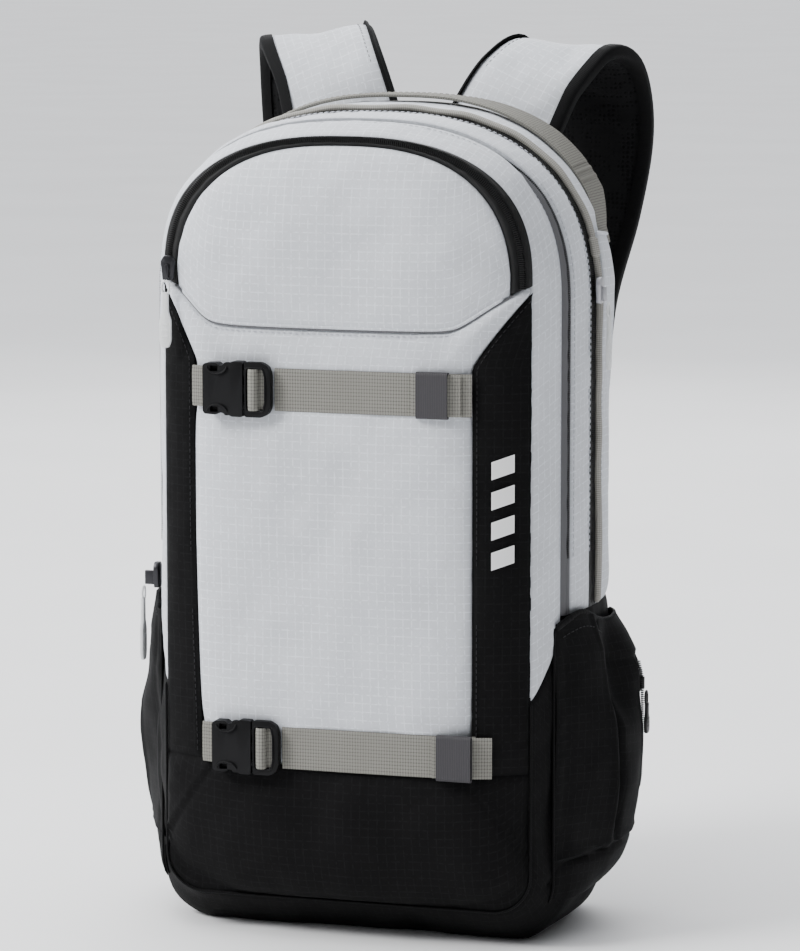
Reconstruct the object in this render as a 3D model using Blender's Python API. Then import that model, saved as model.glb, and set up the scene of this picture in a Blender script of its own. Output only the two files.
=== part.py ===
"""Ski backpack: a soft shell pack on a framesheet, as separate panels, lids, straps and fittings.

Metres, +Z up. The base stands on z = 0, the front faces -Y, the wearer's side faces +Y.
The shell is lofted through five cross-sections ("stations") from the front face to the back panel.
"""

import math

import bmesh
import bpy
from mathutils import Vector

# Driving dimensions -----------------------------------------------------------------------------

WALL = 0.003        # padded fabric wall
CLOTH = 0.0016      # single cloth layer
GAP = 0.0004        # clearance kept between neighbouring solids
SPLIT_Z = 0.200     # height where both lids fold away from the lower body
HINGE_Y = -0.0894   # depth of that fold, just outside the front face

# depth y, half width, foot height, corner radius, spring height of the arch, top height
STATIONS = (
    (-0.0688, 0.1157, 0.028, 0.050, 0.397, 0.487),
    (-0.0385, 0.1290, 0.000, 0.042, 0.385, 0.494),
    (0.0000, 0.1355, 0.000, 0.040, 0.378, 0.498),
    (0.0470, 0.1355, 0.000, 0.040, 0.372, 0.500),
    (0.0620, 0.1270, 0.000, 0.040, 0.370, 0.498),
)
ARCH_POWER = 2.5    # superellipse power of the top arch

FRONT_CROWN_Y = -0.0885   # middle of the front face
FRONT_EDGE_Y = -0.0688    # front corner seam
CROWN_POWER = 4.2
BASE_CROWN_Z = 0.090      # below this the front face rounds under

TOOL_ZIP_Y = -0.0385
MAIN_ZIP_Y = 0.0
ZIP_TAPE = 0.006
BACK_Y = 0.0605           # rear edge of the gusset

PANEL_HALF = 0.0855       # half width of the centre panel
PANEL_FOOT_Z = 0.108
FLARE_Z = 0.355           # the centre panel flares out above this
FLARE_HALF = 0.1148
SEAM_Z = 0.3725           # bottom seam of the goggle flap
FLAP_HALF = 0.1025
FLAP_TOP_Z = 0.479
BAND_FOOT_Z = 0.394         # lowest point of the goggle pocket's zip

WEBBING = 0.025
WEBBING_THICK = 0.0015
UPPER_STRAP_Z = 0.336
LOWER_STRAP_Z = 0.1195

PAD_WIDTH = 0.068
PAD_THICK = 0.012
STRAP_TOP = (0.050, 0.081, 0.459)      # where a shoulder pad leaves the yoke
STRAP_FOOT = (0.112, 0.0735, 0.066)    # where its webbing meets the anchor wing

POCKET_TOP_Z = 0.188
POCKET_FOOT_Z = 0.026
POCKET_FRONT_Y = -0.030
POCKET_REAR_Y = 0.054
POCKET_BULGE = 0.018
POCKET_LIFT = 0.0034

# Scene and materials ----------------------------------------------------------------------------

for old in list(bpy.data.objects):
    bpy.data.objects.remove(old)


def material(name, colour, roughness, metallic=0.0):
    made = bpy.data.materials.new(name)
    made.use_nodes = True
    shader = made.node_tree.nodes["Principled BSDF"]
    shader.inputs["Base Color"].default_value = (*colour, 1.0)
    shader.inputs["Roughness"].default_value = roughness
    shader.inputs["Metallic"].default_value = metallic
    return made


GREY_FABRIC = material("grey_ripstop", (0.58, 0.61, 0.65), 0.75)
BLACK_FABRIC = material("black_ripstop", (0.012, 0.012, 0.013), 0.80)
LINING = material("grey_lining", (0.30, 0.31, 0.33), 0.85)
WEB = material("warm_grey_webbing", (0.38, 0.37, 0.33), 0.80)
ZIP = material("black_zip_tape", (0.02, 0.02, 0.02), 0.60)
TAPE = material("grey_zip_tape", (0.14, 0.14, 0.145), 0.65)
ELASTIC = material("dark_elastic", (0.14, 0.135, 0.14), 0.70)
NYLON = material("black_nylon", (0.022, 0.022, 0.023), 0.38)
MESH = material("black_mesh", (0.010, 0.010, 0.011), 0.90)
SHEET = material("framesheet_plastic", (0.06, 0.06, 0.065), 0.50)
METAL = material("dark_metal", (0.10, 0.10, 0.105), 0.35, 0.9)
RUBBER = material("pale_pull", (0.75, 0.75, 0.74), 0.45)

# Bodies -----------------------------------------------------------------------------------------


def pivot(name, location=(0.0, 0.0, 0.0), parent=None):
    """An empty on a joint's axis, which carries the pieces of one moving body."""
    empty = bpy.data.objects.new(name, None)
    bpy.context.collection.objects.link(empty)
    world = Vector(location)
    if parent:
        empty.parent = parent
        world = world - parent_place(parent)
    empty.location = world
    return empty


def parent_place(obj):
    place = Vector(obj.location)
    if obj.parent:
        place += parent_place(obj.parent)
    return place


def solid(name, verts, faces, look, body):
    """One closed mesh object, given in world places, hung on its body's empty."""
    origin = parent_place(body)
    mesh = bpy.data.meshes.new(name)
    mesh.from_pydata([Vector(v) - origin for v in verts], [], faces)
    edit = bmesh.new()
    edit.from_mesh(mesh)
    bmesh.ops.recalc_face_normals(edit, faces=edit.faces)
    edit.to_mesh(mesh)
    edit.free()
    mesh.materials.append(look)
    mesh.shade_smooth()
    mesh.set_sharp_from_angle(angle=math.radians(35))
    obj = bpy.data.objects.new(name, mesh)
    bpy.context.collection.objects.link(obj)
    obj.parent = body
    return obj


# Shape helpers ----------------------------------------------------------------------------------


def ramp(points, at):
    """Straight-line interpolation through (position, value, ...) rows."""
    rows = sorted(points)
    if at <= rows[0][0]:
        return rows[0][1:]
    for low, high in zip(rows, rows[1:]):
        if at <= high[0]:
            part = (at - low[0]) / (high[0] - low[0])
            return tuple(a + (b - a) * part for a, b in zip(low[1:], high[1:]))
    return rows[-1][1:]


def ring_at(y, inset=0.0):
    """The shell's cross-section at a depth: half width, foot, corner radius, spring and top."""
    half, foot, corner, spring, top = ramp(STATIONS, y)
    return half - inset, foot + inset, max(corner - inset, 0.004), spring, top - inset


def arch_height(ring, x):
    """Height of the top arch over a half-width position."""
    half, _, _, spring, top = ring
    share = min(abs(x) / half, 1.0) ** ARCH_POWER
    return spring + (top - spring) * (1.0 - share) ** (1.0 / ARCH_POWER)


def foot_height(ring, x):
    """Height of the rounded foot under a half-width position."""
    half, foot, corner, _, _ = ring
    over = max(abs(x) - (half - corner), 0.0)
    return foot + corner - math.sqrt(max(corner * corner - over * over, 0.0))


def arch_path(ring, z_start, sides=5, turns=9):
    """Left side from z_start, over the arch, to the right side."""
    half, _, _, spring, top = ring
    right = [(half, z_start + (spring - z_start) * i / sides) for i in range(sides)]
    for i in range(turns):
        angle = 0.5 * math.pi * i / turns
        x = half * math.cos(angle) ** (2.0 / ARCH_POWER)
        z = spring + (top - spring) * math.sin(angle) ** (2.0 / ARCH_POWER)
        right.append((x, z))
    left = [(-x, z) for x, z in right]
    return left + [(0.0, top)] + right[::-1]


def trough_path(ring, z_end, sides=3, turns=6):
    """Left side from z_end, round under the foot, to the right side."""
    half, foot, corner, _, _ = ring
    knee = foot + corner
    right = [(half, z_end + (knee - z_end) * i / sides) for i in range(sides)]
    for i in range(turns + 1):
        angle = 0.5 * math.pi * i / turns
        right.append((half - corner + corner * math.cos(angle), knee - corner * math.sin(angle)))
    left = [(-x, z) for x, z in right]
    return left + right[::-1]


def front_y(x, z):
    """Depth of the crowned front face."""
    half, foot, _, spring, top = ring_at(FRONT_EDGE_Y)
    side = abs(x) / half
    if z > spring:
        reach = (side ** ARCH_POWER + ((z - spring) / (top - spring)) ** ARCH_POWER) ** (1.0 / ARCH_POWER)
    elif z < BASE_CROWN_Z:
        reach = (side ** 4 + ((BASE_CROWN_Z - z) / (BASE_CROWN_Z - foot)) ** 4) ** 0.25
    else:
        reach = side
    return FRONT_CROWN_Y + (FRONT_EDGE_Y - FRONT_CROWN_Y) * min(reach, 1.0) ** CROWN_POWER


def seam_z(x):
    """Bottom seam of the goggle flap: level in the middle, rising at the sides."""
    return ramp(((0.062, SEAM_Z), (0.0875, 0.383), (0.1157, 0.400)), abs(x))[0]


def steps(low, high, count):
    return [low + (high - low) * i / count for i in range(count + 1)]


def shell(name, outer, inner, look, body):
    """A closed wall between two grids of points with the same rows and columns."""
    rows = len(outer)
    cols = len(outer[0])
    verts = [p for row in outer for p in row] + [p for row in inner for p in row]
    under = rows * cols
    faces = []
    for i in range(rows - 1):
        for j in range(cols - 1):
            a = i * cols + j
            quad = (a, a + 1, a + cols + 1, a + cols)
            faces.append(quad)
            faces.append(tuple(v + under for v in reversed(quad)))
    rim = list(range(cols))
    rim += [i * cols + cols - 1 for i in range(1, rows)]
    rim += [(rows - 1) * cols + j for j in range(cols - 2, -1, -1)]
    rim += [i * cols for i in range(rows - 2, 0, -1)]
    for a, b in zip(rim, rim[1:] + rim[:1]):
        faces.append((b, a, a + under, b + under))
    return solid(name, verts, faces, look, body)


def loft(name, depths, path, look, body, wall=WALL, inset=0.0):
    """A shell strip that follows the stations between depths; path turns a ring into points."""
    outer = [[(x, y, z) for x, z in path(ring_at(y, inset))] for y in depths]
    inner = [[(x, y, z) for x, z in path(ring_at(y, inset + wall))] for y in depths]
    return shell(name, outer, inner, look, body)


def on_front(name, columns, look, body, wall=WALL, lift=0.0):
    """A panel on the crowned front face; columns holds rows of (x, z)."""
    outer = [[(x, front_y(x, z) - lift, z) for x, z in row] for row in columns]
    inner = [[(x, y + wall, z) for x, y, z in row] for row in outer]
    return shell(name, outer, inner, look, body)


def plate(name, y_front, wall, half, low, high, look, body, columns=16, rows=1):
    """A flat upright plate whose foot and top heights follow x."""
    grid = []
    for x in steps(-half, half, columns):
        grid.append([(x, z) for z in steps(low(x), high(x), rows)])
    front = [[(x, y_front, z) for x, z in row] for row in grid]
    back = [[(x, y_front + wall, z) for x, z in row] for row in grid]
    return shell(name, front, back, look, body)


def block(name, low, high, look, body, bevel=0.0):
    """A box with rounded edges, from its lowest to its highest corner."""
    verts = [(x, y, z) for x in (low[0], high[0]) for y in (low[1], high[1]) for z in (low[2], high[2])]
    faces = [(0, 1, 3, 2), (4, 6, 7, 5), (0, 4, 5, 1), (2, 3, 7, 6), (0, 2, 6, 4), (1, 5, 7, 3)]
    made = solid(name, verts, faces, look, body)
    if bevel:
        rounding = made.modifiers.new("edges", "BEVEL")
        rounding.width = bevel
        rounding.segments = 2
    return made


def cut(target, low, high, body):
    """Takes a box out of a solid."""
    cutter = block(target.name + "_cutter", low, high, NYLON, body)
    cutter.hide_render = True
    cutter.display_type = "WIRE"
    boolean = target.modifiers.new("cut", "BOOLEAN")
    boolean.operation = "DIFFERENCE"
    boolean.solver = "EXACT"
    boolean.object = cutter
    return cutter


def extrude_x(name, profile, x_low, x_high, look, body):
    """A (y, z) outline drawn along X."""
    count = len(profile)
    verts = [(x, y, z) for x in (x_low, x_high) for y, z in profile]
    faces = [tuple(range(count)), tuple(range(2 * count - 1, count - 1, -1))]
    for i in range(count):
        j = (i + 1) % count
        faces.append((i, j, j + count, i + count))
    return solid(name, verts, faces, look, body)


def smooth_path(points, between):
    """A Catmull-Rom curve through hand-set points."""
    places = [Vector(p) for p in points]
    places = [2 * places[0] - places[1]] + places + [2 * places[-1] - places[-2]]
    curve = []
    for i in range(1, len(places) - 2):
        a, b, c, d = places[i - 1:i + 3]
        for k in range(between):
            t = k / between
            curve.append(0.5 * (2 * b + (c - a) * t + (2 * a - 5 * b + 4 * c - d) * t ** 2
                                + (3 * b - a - 3 * c + d) * t ** 3))
    curve.append(places[-2])
    return curve


def ribbon(name, path, width, thick, look, body, sides=2):
    """A flat band along a path, its width held level."""
    outer = []
    inner = []
    last = len(path) - 1
    for i, place in enumerate(path):
        along = (path[min(i + 1, last)] - path[max(i - 1, 0)]).normalized()
        across = Vector((1.0, 0.0, 0.0))
        across = (across - along * across.dot(along)).normalized()
        out = along.cross(across).normalized()
        offsets = steps(-0.5 * width, 0.5 * width, sides)
        outer.append([tuple(place + across * s + out * 0.5 * thick) for s in offsets])
        inner.append([tuple(place + across * s - out * 0.5 * thick) for s in offsets])
    return shell(name, outer, inner, look, body)


# The bodies -------------------------------------------------------------------------------------

body = pivot("pack_body")
main_lid = pivot("main_lid", (0.0, HINGE_Y, SPLIT_Z), body)
tool_lid = pivot("tool_lid", (0.0, HINGE_Y, SPLIT_Z), main_lid)
FLAP_AXIS = (0.0, FRONT_CROWN_Y - 0.0006, SEAM_Z)
flap_body = pivot("goggle_lid", FLAP_AXIS, tool_lid)
HANDLE_AXIS = (0.0, 0.050, 0.462)
handle_body = pivot("handle", HANDLE_AXIS, body)
right_strap = pivot("right_strap", STRAP_TOP, body)
left_strap = pivot("left_strap", (-STRAP_TOP[0], STRAP_TOP[1], STRAP_TOP[2]), body)

LID_FOOT_Z = SPLIT_Z + 0.0005
BODY_TOP_Z = SPLIT_Z - 0.0005
GUSSET_FRONT_Y = FRONT_EDGE_Y + WALL + 0.0005


# Lower body -------------------------------------------------------------------------------------

def lower_body():
    depths = (GUSSET_FRONT_Y, -0.052, -0.0385, -0.012, 0.020, 0.047, BACK_Y)
    loft("base_panel", depths, lambda ring: trough_path(ring, BODY_TOP_Z), BLACK_FABRIC, body)

    low_ring = ring_at(FRONT_EDGE_Y)
    columns = []
    for x in steps(-low_ring[0] + 0.0008, low_ring[0] - 0.0008, 20):
        columns.append([(x, z) for z in steps(foot_height(low_ring, x), PANEL_FOOT_Z - GAP, 4)])
    on_front("base_front", columns, BLACK_FABRIC, body)

    heights = steps(PANEL_FOOT_Z + GAP, BODY_TOP_Z, 2)
    columns = [[(x, z) for z in heights] for x in steps(-PANEL_HALF + GAP, PANEL_HALF - GAP, 10)]
    on_front("front_panel_lower", columns, GREY_FABRIC, body)
    for side, tag in ((-1, "left"), (1, "right")):
        spread = steps(PANEL_HALF + GAP, FLARE_HALF, 3)
        columns = [[(side * x, z) for z in heights] for x in spread]
        on_front("side_strip_lower_" + tag, columns, BLACK_FABRIC, body)

    inside = ring_at(-0.0345, WALL + 0.0006)
    plate("divider_lower", -0.0345, CLOTH, inside[0], lambda x: foot_height(inside, x),
          lambda x: BODY_TOP_Z, LINING, body, 14)


def rear_shell():
    path = lambda ring: arch_path(ring, LID_FOOT_Z)
    loft("rear_gusset", (MAIN_ZIP_Y + 0.0065, 0.030, 0.047, BACK_Y), path, GREY_FABRIC, body)
    loft("main_zip_tape_rear", (MAIN_ZIP_Y + 0.0003, MAIN_ZIP_Y + ZIP_TAPE), path, TAPE, body, CLOTH)
    back = ring_at(0.062)
    back_low = lambda x: foot_height(back, x)
    back_high = lambda x: arch_height(back, x)
    plate("back_wall", BACK_Y + GAP, WALL, back[0], back_low, back_high, BLACK_FABRIC, body, 24)
    sheet = ring_at(0.058, 0.010)
    plate("framesheet", 0.0565, 0.0025, sheet[0], lambda x: foot_height(sheet, x),
          lambda x: arch_height(sheet, x), SHEET, body, 20)
    plate("hydration_sleeve", 0.0525, CLOTH, 0.085, lambda x: 0.030, lambda x: 0.330, LINING, body, 1)


def back_pads():
    face = BACK_Y + GAP + WALL + GAP
    deep = 0.015
    for side, tag in ((-1, "left"), (1, "right")):
        low = (min(side * 0.018, side * 0.100), face, 0.112)
        high = (max(side * 0.018, side * 0.100), face + deep, 0.435)
        block("back_pad_" + tag, low, high, MESH, body, 0.004)
        wing_low = (min(side * 0.088, side * 0.126), face, 0.046)
        wing_high = (max(side * 0.088, side * 0.126), face + 0.0045, 0.100)
        block("anchor_wing_" + tag, wing_low, wing_high, BLACK_FABRIC, body, 0.001)
    block("lumbar_pad", (-0.084, face, 0.018), (0.084, face + deep, 0.106), MESH, body, 0.004)
    block("strap_yoke", (-0.090, face, 0.446), (0.090, face + 0.0042, 0.468), BLACK_FABRIC, body, 0.0012)


def side_pockets():
    """Open-topped cloth pockets that stand away from the gusset between their edges."""
    for side, tag in ((-1, "left"), (1, "right")):
        outer = []
        for y in steps(POCKET_FRONT_Y, POCKET_REAR_Y, 10):
            across = (y - POCKET_FRONT_Y) / (POCKET_REAR_Y - POCKET_FRONT_Y)
            swell = math.sin(math.pi * across) ** 0.7 if 0 < across < 1 else 0.0
            column = []
            for z in steps(POCKET_FOOT_Z, POCKET_TOP_Z, 8):
                up = (z - POCKET_FOOT_Z) / (POCKET_TOP_Z - POCKET_FOOT_Z)
                rise = ramp(((0.0, 0.0), (0.25, 0.7), (0.6, 1.0), (1.0, 0.6)), up)[0]
                half = ring_at(y)[0]
                tuck = foot_tuck(y, z)
                column.append((side * (half - tuck + POCKET_LIFT + POCKET_BULGE * swell * rise), y, z))
            outer.append(column)
        inner = [[(x - side * CLOTH, y, z) for x, y, z in column] for column in outer]
        shell("side_pocket_" + tag, outer, inner, BLACK_FABRIC, body)


def foot_tuck(y, z):
    """How far the rounded lower corner draws the side in at a height."""
    _, foot, corner, _, _ = ring_at(y)
    below = max(foot + corner - z, 0.0)
    return corner - math.sqrt(max(corner * corner - below * below, 0.0))


# Lids -------------------------------------------------------------------------------------------

def main_lid_parts():
    path = lambda ring: arch_path(ring, LID_FOOT_Z)
    loft("main_zip_tape_front", (MAIN_ZIP_Y - ZIP_TAPE, MAIN_ZIP_Y - 0.0003), path, TAPE, main_lid, CLOTH)
    loft("mid_gusset", (TOOL_ZIP_Y + 0.0020, -0.018, MAIN_ZIP_Y - 0.0065), path, GREY_FABRIC, main_lid)
    loft("tool_zip_tape", (TOOL_ZIP_Y - 0.0016, TOOL_ZIP_Y + 0.0016), path, TAPE, main_lid, CLOTH)
    inside = ring_at(-0.0345, WALL + 0.0006)
    plate("divider_panel", -0.0345, CLOTH, inside[0], lambda x: LID_FOOT_Z,
          lambda x: arch_height(inside, x), LINING, main_lid, 20)


def flare_top(x):
    """Top edge of a black side strip, which follows the flare of the centre panel."""
    return FLARE_Z + (abs(x) - PANEL_HALF) * (0.3975 - FLARE_Z) / (FLARE_HALF - PANEL_HALF)


def tool_lid_parts():
    path = lambda ring: arch_path(ring, LID_FOOT_Z)
    loft("front_gusset", (GUSSET_FRONT_Y, -0.052, TOOL_ZIP_Y - 0.0020), path, GREY_FABRIC, tool_lid)

    columns = []
    for share in steps(-1.0, 1.0, 18):
        low_x = share * (PANEL_HALF - GAP)
        top_x = share * FLARE_HALF
        column = [(low_x, z) for z in steps(LID_FOOT_Z, FLARE_Z, 2)]
        column.append((0.5 * (low_x + top_x), 0.5 * (FLARE_Z + seam_z(top_x) - GAP)))
        column.append((top_x, seam_z(top_x) - GAP))
        columns.append(column)
    on_front("front_panel_upper", columns, GREY_FABRIC, tool_lid)

    for side, tag in ((-1, "left"), (1, "right")):
        columns = []
        for x in steps(PANEL_HALF + GAP, FLARE_HALF, 3):
            columns.append([(side * x, z) for z in steps(LID_FOOT_Z, flare_top(x) - 0.0016, 3)])
        on_front("side_strip_upper_" + tag, columns, BLACK_FABRIC, tool_lid)

    flap_ring = (FLAP_HALF, 0.0, 0.0, BAND_FOOT_Z, FLAP_TOP_Z)
    band_ring = (FLAP_HALF + GAP, 0.0, 0.0, BAND_FOOT_Z, FLAP_TOP_Z + GAP)
    rim_ring = (FLARE_HALF, 0.0, 0.0, BAND_FOOT_Z + 0.0070, 0.4862)
    edges = [arch_path(ring, ring[3], 0, 12) for ring in (band_ring, rim_ring)]
    on_front("goggle_zip_band", edges, ZIP, tool_lid)

    columns = []
    for share in steps(-1.0, 1.0, 20):
        x = share * (FLAP_HALF - 0.0002)
        columns.append([(x, z) for z in steps(seam_z(x) + GAP, arch_height(flap_ring, x), 5)])
    on_front("goggle_flap", columns, GREY_FABRIC, flap_body)

    back_y = -0.0500
    liner = ring_at(back_y, WALL + 0.0008)
    plate("goggle_liner_back", back_y, CLOTH, liner[0] - 0.002, lambda x: 0.366,
          lambda x: arch_height(liner, x), LINING, tool_lid, 20)
    block("goggle_liner_floor", (-0.086, -0.0788, 0.3640), (0.086, back_y + CLOTH, 0.3655), LINING, tool_lid)


# Front straps and buckles -----------------------------------------------------------------------

BUCKLE_BACK_Y = -0.0890
BUCKLE_FRONT_Y = -0.0992
WEB_LIFT = 0.0004


def front_strap(tag, height, holder, left_x, socket_x, clip_x, clip_end_x, web_end_x, keeper_x):
    """A compression strap: anchor tab, socket, sliding clip, webbing and elastic keeper."""
    half = 0.5 * WEBBING
    web_start = socket_x + 0.0010
    columns = [[(x, height - half), (x, height + half)] for x in steps(web_start, web_end_x, 12)]
    on_front(tag + "_webbing", columns, WEB, holder, WEBBING_THICK, WEB_LIFT + WEBBING_THICK)

    socket = block(tag + "_buckle_socket", (left_x, BUCKLE_FRONT_Y, height - 0.0165),
                   (socket_x, BUCKLE_BACK_Y, height + 0.0165), NYLON, holder)
    cut(socket, (socket_x - 0.017, -0.0970, height - 0.0125), (socket_x + 0.005, -0.0922, height + 0.0125), holder)
    columns = [[(x, height - half), (x, height + half)] for x in steps(left_x - 0.009, left_x - 0.0006, 2)]
    on_front(tag + "_tab", columns, WEB, holder, 0.003, WEB_LIFT + 0.003)

    clip_body = pivot(tag + "_clip", (clip_x, -0.0946, height), holder)
    profile = clip_outline(socket_x - 0.015, clip_x, clip_end_x, height)
    count = len(profile)
    verts = [(x, y, z) for y in (-0.0966, -0.0926) for x, z in profile]
    faces = [tuple(range(count)), tuple(range(2 * count - 1, count - 1, -1))]
    for i in range(count):
        j = (i + 1) % count
        faces.append((i, j, j + count, i + count))
    solid(tag + "_buckle_clip", verts, faces, NYLON, clip_body)

    low_x, high_x = keeper_x
    keeper_body = pivot(tag + "_keeper_slide", (low_x, -0.0925, height), holder)
    outside = half + 0.0022
    inside = half + 0.0008
    outline = [(-0.0889, height - outside), (-0.0934, height - outside), (-0.0934, height + outside),
               (-0.0889, height + outside), (-0.0889, height + inside), (-0.0921, height + inside),
               (-0.0921, height - inside), (-0.0889, height - inside)]
    extrude_x(tag + "_keeper", outline, low_x, high_x, ELASTIC, keeper_body)


def clip_outline(tip_x, shoulder_x, end_x, height):
    """The clip's outline in (x, z): a tongue that enters the socket and a wider frame behind it."""
    tongue = 0.0118
    frame = 0.0165
    return [(tip_x, height - tongue + 0.002), (tip_x + 0.003, height - tongue), (shoulder_x, height - tongue),
            (shoulder_x, height - frame), (end_x, height - frame), (end_x, height + frame),
            (shoulder_x, height + frame), (shoulder_x, height + tongue), (tip_x + 0.003, height + tongue),
            (tip_x, height + tongue - 0.002)]


# Handle and shoulder straps ---------------------------------------------------------------------

def haul_handle():
    """Webbing that follows the rear arch and stands off it in the middle."""
    ring = ring_at(0.047)
    outer = []
    inner = []
    depths = (0.037, 0.062)
    route = []
    for x, z in arch_path(ring, 0.430, 1, 12):
        if z < 0.4525:
            continue
        rise = (z - 0.4525) / (ring[4] - 0.4525)
        out = 0.0022 + 0.0090 * rise ** 2
        lean = Vector((x / ring[0], 0.0, max(z - ring[3], 0.0) / (ring[4] - ring[3]))).normalized()
        route.append((x, z, lean, out))
    for y in depths:
        outer.append([(x + n.x * (o + 0.0025), y, z + n.z * (o + 0.0025)) for x, z, n, o in route])
        inner.append([(x + n.x * o, y, z + n.z * o) for x, z, n, o in route])
    shell("haul_handle", outer, inner, WEB, handle_body)


def mirrored(points, side):
    return [(side * x, y, z) for x, y, z in points]


PAD_ROUTE = (
    STRAP_TOP, (0.0526, 0.083, 0.478), (0.066, 0.098, 0.513), (0.080, 0.122, 0.529), (0.089, 0.146, 0.517),
    (0.0913, 0.158, 0.480), (0.0867, 0.155, 0.430), (0.078, 0.134, 0.370), (0.078, 0.117, 0.300),
    (0.082, 0.107, 0.230), (0.090, 0.101, 0.180),
)
STRAP_WEB_ROUTE = ((0.0935, 0.0900, 0.168), (0.0995, 0.0860, 0.120), STRAP_FOOT)


def shoulder_straps():
    for side, tag, holder in ((-1, "left", left_strap), (1, "right", right_strap)):
        pad = smooth_path(mirrored(PAD_ROUTE, side), 3)
        ribbon("shoulder_pad_" + tag, pad, PAD_WIDTH, PAD_THICK, GREY_FABRIC, holder)
        lock_x = side * 0.0905
        block("ladder_lock_" + tag, (lock_x - 0.019, 0.0935, 0.140), (lock_x + 0.019, 0.1000, 0.171),
              NYLON, holder, 0.0015)
        web = smooth_path(mirrored(STRAP_WEB_ROUTE, side), 3)
        ribbon("strap_webbing_" + tag, web, WEBBING, WEBBING_THICK, WEB, holder, 1)


def sternum_strap():
    """The two ends of the chest strap, each sliding on its own shoulder pad."""
    low = Vector((0.0795, 0.1375, 0.380))
    high = Vector((0.0838, 0.1495, 0.414))
    along = (high - low).normalized()
    for side, tag, holder, kind in ((-1, "left", left_strap, "socket"), (1, "right", right_strap, "clip")):
        way = Vector((side * along.x, along.y, along.z))
        across = Vector((1.0, 0.0, 0.0))
        across = (across - way * across.dot(way)).normalized()
        out = across.cross(way).normalized()
        if out.y < 0:
            out = -out
        middle = 0.5 * (low + high)
        middle = Vector((side * middle.x, middle.y, middle.z)) + out * (0.5 * PAD_THICK + 0.0030)
        slide_body = pivot("sternum_slide_" + tag, tuple(middle), holder)
        reach = side * -1.0

        def slab(x_low, x_high, half_high, y_low, y_high):
            corners = []
            for s in (x_low, x_high):
                for t in (y_low, y_high):
                    for u in (-half_high, half_high):
                        corners.append(tuple(middle + across * s + out * t + way * u))
            return corners

        faces = [(0, 1, 3, 2), (4, 6, 7, 5), (0, 4, 5, 1), (2, 3, 7, 6), (0, 2, 6, 4), (1, 5, 7, 3)]
        near, far = sorted((reach * -0.030, reach * 0.0362))
        web = slab(near, far, 0.010, 0.0, 0.0018)
        solid("sternum_web_" + tag, web, faces, WEB, slide_body)
        near, far = sorted((reach * 0.0366, reach * 0.0600))
        buckle = slab(near, far, 0.0125, -0.0030, 0.0050)
        solid("sternum_buckle_" + kind, buckle, faces, NYLON, slide_body)


# Zip sliders and pulls --------------------------------------------------------------------------

def zip_pull(tag, place, size, pull_length, holder, outward, look):
    """A slider block at a place, and a tab that hangs from its outer end and lifts outward."""
    x, y, z = place
    wide, deep, tall = size
    slide = pivot(tag.replace("zip", "slider"), place, holder)
    if outward == "front":
        low = (x - 0.5 * wide, y - deep, z - 0.5 * tall)
        high = (x + 0.5 * wide, y, z + 0.5 * tall)
        hinge = (x, y - deep - 0.0016, z - 0.5 * tall - 0.0004)
        tab_low = (x - 0.42 * wide, hinge[1] - 0.0012, hinge[2] - pull_length)
        tab_high = (x + 0.42 * wide, hinge[1] + 0.0012, hinge[2])
    else:
        sign = 1.0 if x > 0 else -1.0
        low = (min(x, x + sign * deep), y - 0.5 * wide, z - 0.5 * tall)
        high = (max(x, x + sign * deep), y + 0.5 * wide, z + 0.5 * tall)
        hinge = (x + sign * (deep + 0.0016), y, z - 0.5 * tall - 0.0004)
        tab_low = (hinge[0] - 0.0012, y - 0.42 * wide, hinge[2] - pull_length)
        tab_high = (hinge[0] + 0.0012, y + 0.42 * wide, hinge[2])
    block(tag + "_slider", low, high, METAL, slide, 0.0008)
    swing = pivot(tag.replace("zip", "pull_body"), hinge, slide)
    block(tag + "_pull", tab_low, tab_high, look, swing, 0.0005)


lower_body()
rear_shell()
back_pads()
side_pockets()
main_lid_parts()
tool_lid_parts()
front_strap("upper", UPPER_STRAP_Z, tool_lid, -0.0804, -0.0554, -0.0546, -0.0378, 0.0840, (0.0512, 0.0705))
front_strap("lower", LOWER_STRAP_Z, body, -0.0758, -0.0513, -0.0505, -0.0338, 0.0990, (0.0640, 0.0852))
haul_handle()
shoulder_straps()
sternum_strap()
zip_pull("main_zip", (0.1362, MAIN_ZIP_Y, 0.392), (0.009, 0.006, 0.016), 0.040, body, "side", RUBBER)
zip_pull("tool_zip", (-0.1304, TOOL_ZIP_Y, 0.212), (0.009, 0.010, 0.016), 0.046, main_lid, "side", RUBBER)
zip_pull("goggle_zip", (-0.1088, -0.0772, 0.4055), (0.009, 0.005, 0.015), 0.040, tool_lid, "front", RUBBER)
zip_pull("pocket_zip", (0.1550, 0.030, 0.150), (0.009, 0.005, 0.014), 0.026, body, "side", METAL)
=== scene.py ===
"""Looks of the ski backpack: fabric shell, straps, buckles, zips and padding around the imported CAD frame."""

import math

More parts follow.
